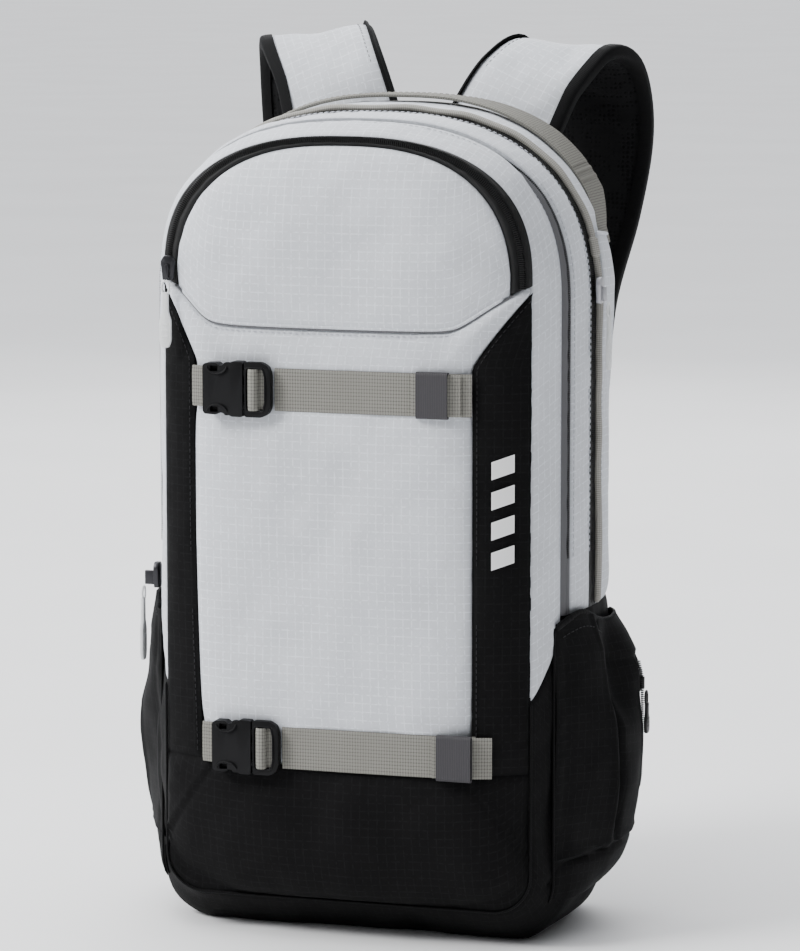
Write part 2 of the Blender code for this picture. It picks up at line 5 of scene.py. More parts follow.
import bmesh
import bpy
import numpy as np
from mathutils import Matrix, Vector


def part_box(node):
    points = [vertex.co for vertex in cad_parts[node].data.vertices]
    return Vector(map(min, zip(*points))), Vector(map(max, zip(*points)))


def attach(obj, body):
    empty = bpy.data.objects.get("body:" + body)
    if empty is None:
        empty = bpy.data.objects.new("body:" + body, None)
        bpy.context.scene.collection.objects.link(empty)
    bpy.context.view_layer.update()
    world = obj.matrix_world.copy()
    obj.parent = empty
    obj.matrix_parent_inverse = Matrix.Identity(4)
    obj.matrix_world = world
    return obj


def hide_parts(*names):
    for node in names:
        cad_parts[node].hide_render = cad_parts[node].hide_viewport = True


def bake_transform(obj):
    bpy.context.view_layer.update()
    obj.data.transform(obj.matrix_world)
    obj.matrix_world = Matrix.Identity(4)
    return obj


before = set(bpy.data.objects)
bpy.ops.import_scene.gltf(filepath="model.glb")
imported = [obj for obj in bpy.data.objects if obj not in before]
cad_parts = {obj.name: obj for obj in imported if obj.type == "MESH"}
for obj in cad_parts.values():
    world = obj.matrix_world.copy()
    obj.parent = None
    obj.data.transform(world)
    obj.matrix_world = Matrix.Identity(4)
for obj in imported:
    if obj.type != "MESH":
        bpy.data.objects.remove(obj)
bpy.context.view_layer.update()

# Sizes ------------------------------------------------------------------------------------------
# Heights and widths come from the frame's boxes. The five sections follow the CAD's own stations,
# with squarer lower corners at the front, as sewn panels have.

SIDE_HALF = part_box("rear_gusset")[1].x
SHELL_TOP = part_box("rear_gusset")[1].z
SPLIT_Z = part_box("mid_gusset")[0].z - 0.0005
BEND_Z = SPLIT_Z + 0.012      # the cloth is cut here, between the main lid's fold and the tool lid's fold
FREE_Z = SPLIT_Z + 0.034      # above this the stitches and zip teeth are attached to their lid
BACK_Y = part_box("back_wall")[0].y
WALL_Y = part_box("back_wall")[1].y
FRONT_EDGE_Y = -0.0688
CROWN_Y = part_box("goggle_flap")[0].y
TOOL_ZIP_Y = 0.5 * (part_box("tool_zip_tape")[0].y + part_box("tool_zip_tape")[1].y)
PANEL_LEFT = -0.0925          # the centre panel's left and right seams
PANEL_RIGHT = 0.0832
PANEL_FOOT_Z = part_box("front_panel_lower")[0].z - 0.0004
FLARE_Z = 0.355
FLARE_HALF = 0.1157
FLAP_REACH = 0.0020            # the flap's cloth reaches this far past its solid, over the zip band
FLAP_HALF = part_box("goggle_flap")[1].x + FLAP_REACH
FLAP_TOP_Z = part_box("goggle_flap")[1].z + FLAP_REACH
BAND_FOOT_Z = 0.3955
UPPER_Z = 0.5 * (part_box("upper_webbing")[0].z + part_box("upper_webbing")[1].z)
LOWER_Z = 0.5 * (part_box("lower_webbing")[0].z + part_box("lower_webbing")[1].z)
WEB_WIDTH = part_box("upper_webbing")[1].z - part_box("upper_webbing")[0].z
ARCH_POWER = 2.5
CROWN_POWER = 4.2

# depth y, half width, foot height, corner radius, spring height, top height
STATIONS = np.array((
    (FRONT_EDGE_Y, 0.1157, 0.022, 0.024, 0.397, 0.487),
    (-0.0385, 0.1290, 0.000, 0.034, 0.385, 0.494),
    (0.0000, SIDE_HALF, 0.000, 0.040, 0.378, 0.498),
    (0.0470, SIDE_HALF - 0.0040, 0.000, 0.040, 0.372, SHELL_TOP),
    (0.0620, 0.1240, 0.000, 0.040, 0.370, 0.498),
))

# Numbers and noise ------------------------------------------------------------------------------

_waves = np.random.RandomState(11)
WAVE_WAYS = _waves.normal(size=(20, 3))
WAVE_WAYS /= np.linalg.norm(WAVE_WAYS, axis=1, keepdims=True)
WAVE_SIZES = _waves.uniform(0.6, 1.7, 20)
WAVE_PHASES = _waves.uniform(0.0, 2.0 * math.pi, 20)


def field(points, per_metre, seed=0.0):
    """A smooth random field between about -1 and 1, the same on every run."""
    at = np.asarray(points) * per_metre * 2.0 * math.pi
    total = np.zeros(at.shape[:-1])
    for way, size, phase in zip(WAVE_WAYS, WAVE_SIZES, WAVE_PHASES):
        total += np.sin(at @ (way * size) + phase * (1.0 + seed))
    return total / 4.5


def unit(vectors):
    return vectors / (np.linalg.norm(vectors, axis=-1, keepdims=True) + 1e-12)


def lengths(points):
    """Distance along a polyline, from its first point."""
    gaps = np.linalg.norm(np.diff(points, axis=0), axis=1)
    return np.concatenate([[0.0], np.cumsum(gaps)])


def xyz(x, y, z):
    """Points from three coordinates, each a number or an array."""
    return np.stack(np.broadcast_arrays(x, y, z), axis=-1)


def travelled(grid, axis):
    """Distance along every row or column of a grid, from its first point."""
    gaps = np.linalg.norm(np.diff(grid, axis=axis), axis=2)
    return np.concatenate([np.zeros_like(np.take(gaps, [0], axis=axis)), np.cumsum(gaps, axis=axis)], axis=axis)


def resample(points, count):
    points = np.asarray(points, float)
    along = lengths(points)
    wanted = np.linspace(0.0, along[-1], count)
    return np.stack([np.interp(wanted, along, points[:, k]) for k in range(points.shape[1])], axis=1)


def curve_through(points, count):
    """An even Catmull-Rom curve through given points."""
    rows = np.asarray(points, float)
    rows = np.vstack([2 * rows[0] - rows[1], rows, 2 * rows[-1] - rows[-2]])
    dense = []
    for a, b, c, d in zip(rows, rows[1:], rows[2:], rows[3:]):
        for t in np.linspace(0.0, 1.0, 12, endpoint=False):
            dense.append(0.5 * (2 * b + (c - a) * t + (2 * a - 5 * b + 4 * c - d) * t ** 2
                                + (3 * b - a - 3 * c + d) * t ** 3))
    dense.append(rows[-2])
    return resample(dense, count)


# The shell's sections ---------------------------------------------------------------------------


def section(y):
    """Half width, foot, corner radius, spring and top of the shell at a depth, eased between stations."""
    depths = STATIONS[:, 0]
    y = min(max(y, depths[0]), depths[-1])
    i = min(int(np.searchsorted(depths, y, side="right")) - 1, len(depths) - 2)
    step = depths[i + 1] - depths[i]
    t = (y - depths[i]) / step
    slopes = np.gradient(STATIONS[:, 1:], depths, axis=0)
    slopes[np.abs(np.gradient(STATIONS[:, 1:], axis=0)) < 1e-9] = 0.0
    low, high = STATIONS[i, 1:], STATIONS[i + 1, 1:]
    smooth = ((2 * t ** 3 - 3 * t ** 2 + 1) * low + (t ** 3 - 2 * t ** 2 + t) * step * slopes[i]
              + (3 * t ** 2 - 2 * t ** 3) * high + (t ** 3 - t ** 2) * step * slopes[i + 1])
    straight = low + (high - low) * t
    eased = 0.5 * (smooth + straight)
    eased[1] = max(eased[1], 0.0)
    return eased


def arch_height(ring, x):
    half, _, _, spring, top = ring
    share = np.clip(np.abs(x) / half, 0.0, 1.0) ** ARCH_POWER
    return spring + (top - spring) * (1.0 - share) ** (1.0 / ARCH_POWER)


def foot_height(ring, x):
    half, foot, corner, _, _ = ring
    over = np.clip(np.abs(x) - (half - corner), 0.0, corner)
    return foot + corner - np.sqrt(corner * corner - over * over)


def hoop(ring, z_low, count):
    """(x, z) points, evenly spaced, from the left side at z_low over the arch to the right side."""
    half, _, _, spring, top = ring
    turn = np.linspace(0.0, 0.5 * math.pi, 60)
    x = half * np.cos(turn) ** (2.0 / ARCH_POWER)
    z = spring + (top - spring) * np.sin(turn) ** (2.0 / ARCH_POWER)
    right = np.stack([x, z], axis=1)
    if z_low < spring:
        right = np.vstack([[half, z_low], right])
    else:
        start = half * (1.0 - ((z_low - spring) / (top - spring)) ** ARCH_POWER) ** (1.0 / ARCH_POWER)
        right = np.vstack([[start, z_low], right[right[:, 1] > z_low]])
    left = right * (-1.0, 1.0)
    return resample(np.vstack([left, right[::-1][1:]]), count)


def trough(ring, z_end, count):
    """(x, z) points from the left side at z_end, under the foot, to the right side."""
    half, foot, corner, _, _ = ring
    turn = np.linspace(0.0, 0.5 * math.pi, 24)
    arc = np.stack([half - corner + corner * np.cos(turn), foot + corner - corner * np.sin(turn)], axis=1)
    right = np.vstack([[half, z_end], arc])
    left = right * (-1.0, 1.0)
    return resample(np.vstack([left, right[::-1]]), count)


def front_y(x, z):
    """Depth of the crowned front face, with a slight waist under each compression strap."""
    half, foot, _, spring, top = section(FRONT_EDGE_Y)
    x, z = np.broadcast_arrays(np.asarray(x, float), np.asarray(z, float))
    side = np.abs(x) / half
    over = np.clip((z - spring) / (top - spring), 0.0, 1.0)
    under = np.clip((0.090 - z) / (0.090 - foot), 0.0, 1.0)
    reach = (side ** ARCH_POWER + over ** ARCH_POWER) ** (1.0 / ARCH_POWER)
    low_reach = (side ** 4 + under ** 4) ** 0.25
    reach = np.clip(np.where(z < 0.090, low_reach, reach), 0.0, 1.0)
    return CROWN_Y + (FRONT_EDGE_Y - CROWN_Y) * reach ** CROWN_POWER


def seam_z(x):
    """Bottom seam of the goggle flap: level in the middle, with a round corner up to each side."""
    x = np.asarray(x, float)
    corner = np.where(x < 0.0, 0.083, 0.074)
    power = np.where(x < 0.0, 1.5, 1.2)
    reach = np.abs(x) - corner
    full = FLARE_HALF - corner
    eased = (reach + np.sqrt(reach ** 2 + 0.007 ** 2)) / (full + np.sqrt(full ** 2 + 0.007 ** 2))
    return 0.3725 + 0.0275 * (1.0 - (1.0 - np.clip(eased, 0.0, 1.0)) ** power)


# Materials --------------------------------------------------------------------------------------


class Shader:
    """A small helper that builds node materials by name."""

    def __init__(self, name, roughness=0.7, **fixed):
        self.material = bpy.data.materials.new(name)
        self.material.use_nodes = True
        self.tree = self.material.node_tree
        self.surface = self.tree.nodes["Principled BSDF"]
        self.surface.inputs["Roughness"].default_value = roughness
        for socket, value in fixed.items():
            self.surface.inputs[socket.replace("_", " ")].default_value = value

    def node(self, kind, settings=None, **inputs):
        made = self.tree.nodes.new("ShaderNode" + kind)
        for key, value in (settings or {}).items():
            setattr(made, key, value)
        for key, value in inputs.items():
            socket = made.inputs[int(key[1:])] if key[0] == "i" and key[1:].isdigit() else made.inputs[key]
            if isinstance(value, bpy.types.NodeSocket):
                self.tree.links.new(value, socket)
            else:
                socket.default_value = value
        return made

    def math(self, operation, a, b=0.0):
        return self.node("Math", {"operation": operation}, i0=a, i1=b).outputs[0]

    def noise(self, scale, detail=2.0, vector=None):
        inputs = {"Scale": scale, "Detail": detail}
        if vector is not None:
            inputs["Vector"] = vector
        return self.node("TexNoise", None, **inputs).outputs[0]

    def place(self):
        return self.node("TexCoord").outputs["Object"]

    def weave(self):
        """Along, across and edge distance, in metres, as stored on the mesh."""
        read = self.node("Attribute", {"attribute_name": "weave"})
        return self.node("SeparateXYZ", None, Vector=read.outputs["Vector"]).outputs

    def ramp(self, value, low, high, to_low=0.0, to_high=1.0):
        made = self.node("MapRange", {"interpolation_type": "SMOOTHSTEP"}, Value=value)
        for key, number in zip(("From Min", "From Max", "To Min", "To Max"), (low, high, to_low, to_high)):
            made.inputs[key].default_value = number
        return made.outputs[0]

    def lines(self, value, pitch, width):
        """1 on thin lines that repeat every pitch, else 0."""
        turn = self.math("FRACT", self.math("DIVIDE", value, pitch))
        off = self.math("ABSOLUTE", self.math("SUBTRACT", turn, 0.5))
        return self.ramp(off, 0.5 - width / pitch, 0.5 - 0.35 * width / pitch)

    def mix(self, share, a, b):
        made = self.node("Mix", {"data_type": "RGBA"})
        for index, value in ((0, share), (6, a), (7, b)):
            if isinstance(value, bpy.types.NodeSocket):
                self.tree.links.new(value, made.inputs[index])
            else:
                made.inputs[index].default_value = value
        return made.outputs[2]

    def finish(self, colour, height=None, strength=0.3, distance=0.0003, roughness=None):
        self.tree.links.new(colour, self.surface.inputs["Base Color"])
        if roughness is not None:
            self.tree.links.new(roughness, self.surface.inputs["Roughness"])
        if height is not None:
            bump = self.node("Bump", None, Height=height)
            bump.inputs["Strength"].default_value = strength
            bump.inputs["Distance"].default_value = distance
            self.tree.links.new(bump.outputs[0], self.surface.inputs["Normal"])
        return self.material


def tone(colour, factor):
    return (*[min(c * factor, 1.0) for c in colour], 1.0)


def ripstop(name, colour, line_gain, line_share, sheen, gloss=0.35):
    """Fine plain weave crossed by a 5 mm grid of thicker threads, with soft mottling and painted shade darkening
    the cloth along its seams.
    """
    s = Shader(name, 0.72, Sheen_Weight=sheen, Sheen_Roughness=0.5, Specular_IOR_Level=gloss)
    along, across, edge = s.weave()
    grid = s.math("MAXIMUM", s.lines(along, 0.0052, 0.00055), s.lines(across, 0.0052, 0.00055))
    broken = s.ramp(s.noise(420.0, 3.0, s.place()), 0.35, 0.62)
    grid = s.math("MULTIPLY", grid, broken)
    threads = s.math("MULTIPLY", s.math("SINE", s.math("MULTIPLY", along, 2 * math.pi / 0.0009)),
                     s.math("SINE", s.math("MULTIPLY", across, 2 * math.pi / 0.0009)))
    mottle = s.noise(38.0, 4.0, s.place())
    slub = s.noise(900.0, 2.0, s.place())
    shade = s.mix(s.ramp(mottle, 0.25, 0.75), tone(colour, 0.93), tone(colour, 1.05))
    shade = s.mix(s.math("MULTIPLY", s.ramp(slub, 0.3, 0.8), 0.35), shade, tone(colour, 0.86))
    shade = s.mix(s.math("MULTIPLY", grid, line_share), shade, tone(colour, line_gain))
    # painted shade: the cloth is darkened within about 2 mm of every seam, where the sunk seam creases lie in
    # shadow
    shade = s.mix(s.ramp(edge, 0.0, 0.0022, 0.45, 0.0), shade, tone(colour, 0.45))
    height = s.math("ADD", s.math("MULTIPLY", threads, 0.30), s.math("MULTIPLY", grid, 1.0))
    height = s.math("ADD", height, s.math("MULTIPLY", slub, 0.5))
    rough = s.ramp(mottle, 0.2, 0.8, 0.66, 0.80)
    return s.finish(shade, height, 0.35, 0.00012, rough)


def webbing(name, colour, pitch_along=0.00165, pitch_across=0.0021):
    """Basket weave: rows of raised threads with dark holes between them, and firmer edges."""
    s = Shader(name, 0.80, Specular_IOR_Level=0.25)
    along, across, _ = s.weave()
    row = s.math("DIVIDE", along, pitch_along)
    col = s.math("DIVIDE", across, pitch_across)
    hill_a = s.math("ABSOLUTE", s.math("SINE", s.math("MULTIPLY", row, math.pi)))
    hill_b = s.math("ABSOLUTE", s.math("SINE", s.math("MULTIPLY", col, math.pi)))
    hill = s.math("MULTIPLY", s.math("POWER", hill_a, 0.6), s.math("POWER", hill_b, 0.5))
    fuzz = s.noise(1400.0, 2.0, s.place())
    shade = s.mix(s.ramp(hill, 0.12, 0.62), tone(colour, 0.40), tone(colour, 1.08))
    shade = s.mix(s.math("MULTIPLY", s.ramp(fuzz, 0.35, 0.75), 0.30), shade, tone(colour, 0.75))
    shade = s.mix(s.ramp(s.noise(30.0, 3.0, s.place()), 0.3, 0.7, 0.0, 0.25), shade, tone(colour, 0.88))
    height = s.math("ADD", hill, s.math("MULTIPLY", fuzz, 0.3))
    return s.finish(shade, height, 0.75, 0.00028)


def ribbed(name, colour, pitch, gain=0.55, roughness=0.7, along_only=True, sheen=0.0, gloss=0.25):
    """Fine ribs across a tape, binding or elastic."""
    s = Shader(name, roughness, Sheen_Weight=sheen, Specular_IOR_Level=gloss)
    along, across, _ = s.weave()
    rib = s.math("ABSOLUTE", s.math("SINE", s.math("MULTIPLY", along, math.pi / pitch)))
    if not along_only:
        cross = s.math("ABSOLUTE", s.math("SINE", s.math("MULTIPLY", across, math.pi / (1.4 * pitch))))
        rib = s.math("MULTIPLY", rib, s.math("POWER", cross, 0.5))
    fuzz = s.noise(1200.0, 2.0, s.place())
    shade = s.mix(s.ramp(rib, 0.05, 0.75), tone(colour, gain), tone(colour, 1.08))
    shade = s.mix(s.math("MULTIPLY", s.ramp(fuzz, 0.3, 0.8), 0.3), shade, tone(colour, 0.8))
    height = s.math("ADD", rib, s.math("MULTIPLY", fuzz, 0.4))
    return s.finish(shade, height, 0.6, 0.00020)


def spacer_mesh(name, colour):
    """Black spacer mesh with rows of small round holes."""
    s = Shader(name, 0.90, Specular_IOR_Level=0.15)
    cells = s.node("TexVoronoi", {"feature": "F1"}, Vector=s.place(), Scale=340.0, Randomness=0.25)
    hole = s.ramp(cells.outputs["Distance"], 0.22, 0.46)
    fuzz = s.noise(1100.0, 2.0, s.place())
    shade = s.mix(hole, tone(colour, 0.30), tone(colour, 1.5))
    shade = s.mix(s.math("MULTIPLY", fuzz, 0.4), shade, tone(colour, 2.2))
    return s.finish(shade, s.math("ADD", hole, s.math("MULTIPLY", fuzz, 0.2)), 0.8, 0.0006)


def moulded(name, colour, roughness=0.42, metallic=0.0, wear=1.6, grain=900.0, gloss=0.3):
    """Moulded nylon or plated metal: fine grain, faint scuffs and lighter worn edges."""
    s = Shader(name, roughness, Metallic=metallic, Specular_IOR_Level=gloss)
    grain_noise = s.noise(grain, 3.0, s.place())
    scuff = s.ramp(s.noise(160.0, 6.0, s.place()), 0.56, 0.74)
    edge = s.ramp(s.node("NewGeometry").outputs["Pointiness"], 0.52, 0.62)
    shade = s.mix(s.math("MULTIPLY", scuff, 0.35), tone(colour, 1.0), tone(colour, wear))
    shade = s.mix(s.math("MULTIPLY", edge, 0.45), shade, tone(colour, wear * 1.3))
    rough = s.ramp(scuff, 0.0, 1.0, roughness, roughness + 0.16)
    return s.finish(shade, grain_noise, 0.25, 0.00012, rough)


GREY_RGB = (0.600, 0.622, 0.660)
BLACK_RGB = (0.0034, 0.0034, 0.0036)
WEB_RGB = (0.222, 0.217, 0.193)

GREY = ripstop("grey_ripstop", GREY_RGB, 1.32, 0.72, 0.05)
BLACK = ripstop("black_ripstop", BLACK_RGB, 2.6, 0.6, 0.0, 0.09)
LINING = ripstop("grey_lining", (0.23, 0.24, 0.26), 1.1, 0.3, 0.05)
WEB = webbing("warm_grey_webbing", WEB_RGB)
PIPING = ribbed("warm_grey_binding", (0.34, 0.33, 0.30), 0.0012, 0.60, along_only=False)
ZIP_BLACK = ribbed("black_zip_tape", (0.0060, 0.0060, 0.0062), 0.0009, 0.6, 0.55)
COIL = moulded("black_zip_coil", (0.006, 0.006, 0.006), 0.42)
ZIP_GREY = ribbed("grey_zip_tape", (0.115, 0.115, 0.122), 0.0010, 0.6)
ELASTIC = ribbed("dark_elastic", (0.046, 0.044, 0.048), 0.0011, 0.62, 0.62)
BINDING = ribbed("black_binding", (0.0030, 0.0030, 0.0033), 0.0010, 0.6, gloss=0.12)
MESH = spacer_mesh("black_mesh", (0.0045, 0.0045, 0.0048))
NYLON = moulded("black_nylon", (0.0036, 0.0036, 0.0040), 0.50, wear=2.2, gloss=0.13)
METAL = moulded("dark_metal", (0.035, 0.035, 0.038), 0.36, 0.9, wear=1.9)
SATIN = moulded("satin_metal", (0.40, 0.40, 0.42), 0.42, 0.7, wear=1.2)
PULL = moulded("pale_pull", (0.70, 0.71, 0.71), 0.48, wear=1.05, grain=500.0)
THREAD_GREY = moulded("grey_thread", (0.40, 0.415, 0.45), 0.8, wear=1.1)
THREAD_WARM = moulded("warm_thread", (0.20, 0.195, 0.175), 0.7, wear=1.1)
THREAD_BLACK = moulded("black_thread", (0.011, 0.011, 0.012), 0.65, wear=1.3)
SHEET = moulded("framesheet_plastic", (0.05, 0.05, 0.055), 0.5, wear=1.5)
MARK = moulded("white_print", (0.80, 0.80, 0.80), 0.5, wear=0.95, grain=1500.0)

# Mesh building ----------------------------------------------------------------------------------


def put(name, verts, faces, looks, weave=None, face_looks=None, sharp=45.0):
    mesh = bpy.data.meshes.new(name)
    mesh.from_pydata(np.asarray(verts, float).tolist(), [], [tuple(int(i) for i in f) for f in faces])
    edit = bmesh.new()
    edit.from_mesh(mesh)
    bmesh.ops.recalc_face_normals(edit, faces=edit.faces)
    edit.to_mesh(mesh)
    edit.free()
    for look in looks:
        mesh.materials.append(look)
    if face_looks is not None:
        mesh.polygons.foreach_set("material_index", np.asarray(face_looks, np.int32))
    if weave is not None:
        stored = mesh.attributes.new("weave", "FLOAT_VECTOR", "POINT")
        stored.data.foreach_set("vector", np.asarray(weave, np.float32).reshape(-1))
    mesh.shade_smooth()
    mesh.set_sharp_from_angle(angle=math.radians(sharp))
    obj = bpy.data.objects.new(name, mesh)
    bpy.context.scene.collection.objects.link(obj)
    return obj


def grid_normals(points):
    down = np.gradient(points, axis=0)
    along = np.gradient(points, axis=1)
    return unit(np.cross(down, along))


def grid_faces(rows, cols, start=0, flip=False, wrap=False):
    faces = []
    for i in range(rows - 1):
        low = start + i * cols
        for j in range(cols if wrap else cols - 1):
            k = (j + 1) % cols
            quad = [low + j, low + k, low + cols + k, low + cols + j]
            faces.append(quad[::-1] if flip else quad)
    return faces


def two_sided(name, outer, inner, looks, weave):
    """A closed cloth from an outer and an inner grid; looks are the outer and the inner material."""
    rows, cols = outer.shape[:2]
    verts = np.vstack([outer.reshape(-1, 3), inner.reshape(-1, 3)])
    under = rows * cols
    faces = grid_faces(rows, cols)
    kinds = [0] * len(faces)
    back = grid_faces(rows, cols, under, True)
    faces += back
    kinds += [len(looks) - 1] * len(back)
    rim = list(range(cols)) + [i * cols + cols - 1 for i in range(1, rows)]
    rim += [(rows - 1) * cols + j for j in range(cols - 2, -1, -1)]
    rim += [i * cols for i in range(rows - 2, 0, -1)]
    for a, b in zip(rim, rim[1:] + rim[:1]):
        faces.append([b, a, a + under, b + under])
        kinds.append(0)
    flat = weave.reshape(-1, 3)
    return put(name, verts, faces, looks, np.vstack([flat, flat]), kinds)


def move_with(piece, motion, replaced=()):
    """motion is a body's name, or (body, body, low z, high z) for cloth over a fold, which is only baked in place
    here.
    """
    if isinstance(motion, str):
        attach(piece, motion)
    else:
        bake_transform(piece)
    if replaced:
        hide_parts(*replaced)
    return piece


LOWER_FOLD = ("pack_body", "main_lid", SPLIT_Z, BEND_Z)
UPPER_FOLD = ("main_lid", "tool_lid", BEND_Z, FREE_Z)


def outward_of(points, normals):
    """Normals turned away from the pack's own middle line."""
    middle = np.zeros_like(points)
    middle[..., 2] = np.clip(points[..., 2], 0.09, 0.40)
    turned = np.sum((points - middle) * normals, axis=-1, keepdims=True)
    return normals * np.sign(turned + 1e-12)


def cloth(grid, looks, parts, seams="udlr", thick=0.0022, puff=0.0012, tuck=0.0011, fold=0.0008,
          pucker=0.00035, seed=0.0, slot="grey_ripstop", away=None, extra=None):
    """A sewn panel over a grid of points: sunk at its seams, puckered beside them and full between them.

    seams names the sewn edges: u and d are the first and last row, l and r the first and last column.
    parts holds (name, rows, columns, motion, replaced nodes), where the same cloth is cut at a fold.
    extra is added along the outward direction, point by point.
    """
    grid = np.asarray(grid, float)
    normals = grid_normals(grid)
    if away is None:
        normals = outward_of(grid, normals)
    else:
        normals = normals * np.sign(np.sum(normals * np.asarray(away, float), axis=-1, keepdims=True) + 1e-12)
    down = travelled(grid, 0)
    along = travelled(grid, 1)
    edges = [np.ones(grid.shape[:2])]
    if "u" in seams:
        edges.append(down)
    if "d" in seams:
        edges.append(down[-1:] - down)
    if "l" in seams:
        edges.append(along)
    if "r" in seams:
        edges.append(along[:, -1:] - along)
    edge = np.min(edges, axis=0)
    rise = puff * (1.0 - np.exp(-edge / 0.012)) - tuck * np.exp(-edge / 0.0022)
    rise += pucker * np.exp(-edge / 0.010) * (1.0 - np.exp(-edge / 0.0022)) * field(grid, 75.0, seed)
    rise += fold * field(grid, 9.0, seed + 0.37) * (1.0 - np.exp(-edge / 0.014))
    rise += 0.35 * fold * field(grid, 26.0, seed + 0.71) * (1.0 - np.exp(-edge / 0.012))
    if extra is not None:
        rise = rise + extra
    outer = grid + normals * rise[..., None]
    outer[..., 2] = np.maximum(outer[..., 2], 0.0002)      # the pack stands flat on its base
    inner = outer - normals * thick
    weave = np.stack([along - 0.5 * along[:, -1:], down, edge], axis=-1)
    made = []
    for name, row_cut, col_cut, motion, replaced in parts:
        cut = (row_cut, col_cut)
        piece = two_sided(name, outer[cut], inner[cut], looks, weave[cut])
        made.append(move_with(piece, motion, replaced))
    return made


ALL = slice(None)
SIDES = ((-1, "left"), (1, "right"))


def tube(name, path, radius, look, motion, sides=10, squash=1.0, normals=(0, 0, 1), replaced=(),
         pinch=0.0):
    """A closed round cord along a path; normals point out of the surface that it lies on."""
    path = np.asarray(path, float)
    tangents = unit(np.gradient(path, axis=0))
    side = unit(np.cross(tangents, normals))
    up = unit(np.cross(side, tangents))
    along = lengths(path)
    turn = np.linspace(0.0, 2 * math.pi, sides, endpoint=False)
    fat = np.full(len(path), radius)
    fat = fat * (1.0 + pinch * np.sin(along * 2 * math.pi / 0.0034))
    fat[0] *= 0.35
    fat[-1] *= 0.35
    rings = (path[:, None] + side[:, None] * np.cos(turn)[None, :, None] * fat[:, None, None]
             + up[:, None] * (np.sin(turn) * squash)[None, :, None] * fat[:, None, None])
    verts = rings.reshape(-1, 3)
    faces = grid_faces(len(path), sides, wrap=True)
    faces.append(list(range(sides)))
    faces.append(list(range(len(verts) - 1, len(verts) - sides - 1, -1)))
    weave = xyz(np.repeat(along, sides), np.tile(turn * radius, len(path)), 0.01)
    return move_with(put(name, verts, faces, [look], weave, sharp=60.0), motion, replaced)


def band(name, path, across, width, thick, look, motion, replaced=(), crown=0.0, around=9):
    """Webbing: a flat band along a path, with rounded edges. across is the width direction at each point."""
    path = np.asarray(path, float)
    tangents = unit(np.gradient(path, axis=0))
    across = np.broadcast_to(np.asarray(across, float), path.shape)
    across = unit(across - tangents * np.sum(across * tangents, axis=1, keepdims=True))
    out = unit(np.cross(tangents, across))
    along = lengths(path)
    flat = np.linspace(-0.5, 0.5, around)
    profile = [(u, 0.5) for u in flat] + [(0.512, 0.0)] + [(u, -0.5) for u in flat[::-1]] + [(-0.512, 0.0)]
    profile = np.array(profile)
    bow = crown * (1.0 - (2 * profile[:, 0]) ** 2)
    rim = 1.0 - 0.35 * np.clip(np.abs(profile[:, 0]) * 2 - 0.86, 0, 1) / 0.14
    rows = (path[:, None] + across[:, None] * (profile[:, 0] * width)[None, :, None]
            + out[:, None] * (profile[:, 1] * thick * rim + bow)[None, :, None])
    count = len(profile)
    verts = rows.reshape(-1, 3)
    faces = grid_faces(len(path), count, wrap=True)
    faces.append(list(range(count)))
    faces.append(list(range(len(verts) - 1, len(verts) - count - 1, -1)))
    weave = xyz(np.repeat(along, count), np.tile(profile[:, 0] * width, len(path)),
                  np.tile((0.5 - np.abs(profile[:, 0])) * width, len(path)))
    return move_with(put(name, verts, faces, [look], weave, sharp=50.0), motion, replaced)


def stitches(name, path, normals, look, motion, pitch=0.0037, length=0.0026, width=0.0005, height=0.00022,
             crosswise=False):
    """A row of thread stitches lying on a surface along a path, each a small closed bead."""
    path = np.asarray(path, float)
    along = lengths(path)
    count = max(int(along[-1] / pitch), 1)
    middles = (np.arange(count) + 0.5) * along[-1] / count
    at = np.stack([np.interp(middles, along, path[:, k]) for k in range(3)], axis=1)
    normals = np.broadcast_to(np.asarray(normals, float), path.shape)
    up = unit(np.stack([np.interp(middles, along, normals[:, k]) for k in range(3)], axis=1))
    slope = unit(np.gradient(path, axis=0))
    way = unit(np.stack([np.interp(middles, along, slope[:, k]) for k in range(3)], axis=1))
    side = unit(np.cross(way, up))
    if crosswise:
        way, side = side, way
    verts = []
    faces = []
    outline = ((-0.5, 0.0), (-0.36, 0.5), (0.36, 0.5), (0.5, 0.0), (0.36, -0.5), (-0.36, -0.5))
    for p, w, s, u in zip(at, way, side, up):
        base = len(verts)
        for a, b in outline:
            verts.append(p + w * a * length + s * b * width - u * height)
        for a, b in outline:
            verts.append(p + w * a * length * 0.72 + s * b * width * 0.5 + u * height)
        faces.append([base + k for k in range(5, -1, -1)])
        faces.append([base + 6 + k for k in range(6)])
        for k in range(6):
            faces.append([base + k, base + (k + 1) % 6, base + 6 + (k + 1) % 6, base + 6 + k])
    return move_with(put(name, verts, faces, [look], sharp=70.0), motion)


def on_front(x, z, lift=0.0):
    return xyz(x, front_y(x, z) - lift, z)


def levels(marks, step):
    """Heights through all the marks, about step apart, and the index of each mark."""
    values = [marks[0]]
    places = [0]
    for low, high in zip(marks, marks[1:]):
        count = max(int(round((high - low) / step)), 1)
        values += list(low + (high - low) * (np.arange(count) + 1) / count)
        places.append(len(values) - 1)
    return np.array(values), places


def panel_edge(z, side):
    """Distance from the middle to a seam of the centre panel, which flares out below the flap."""
    drift = 0.0042 * np.clip((0.260 - np.asarray(z, float)) / 0.140, 0.0, 1.0) ** 1.5
    start = np.where(np.asarray(side) > 0, PANEL_RIGHT, -PANEL_LEFT - drift)
    rise = np.clip((np.asarray(z, float) - FLARE_Z + 0.004) / 0.0445, 0.0, 1.0)
    return start + (FLARE_HALF - start) * rise ** 1.15


# Front face -------------------------------------------------------------------------------------


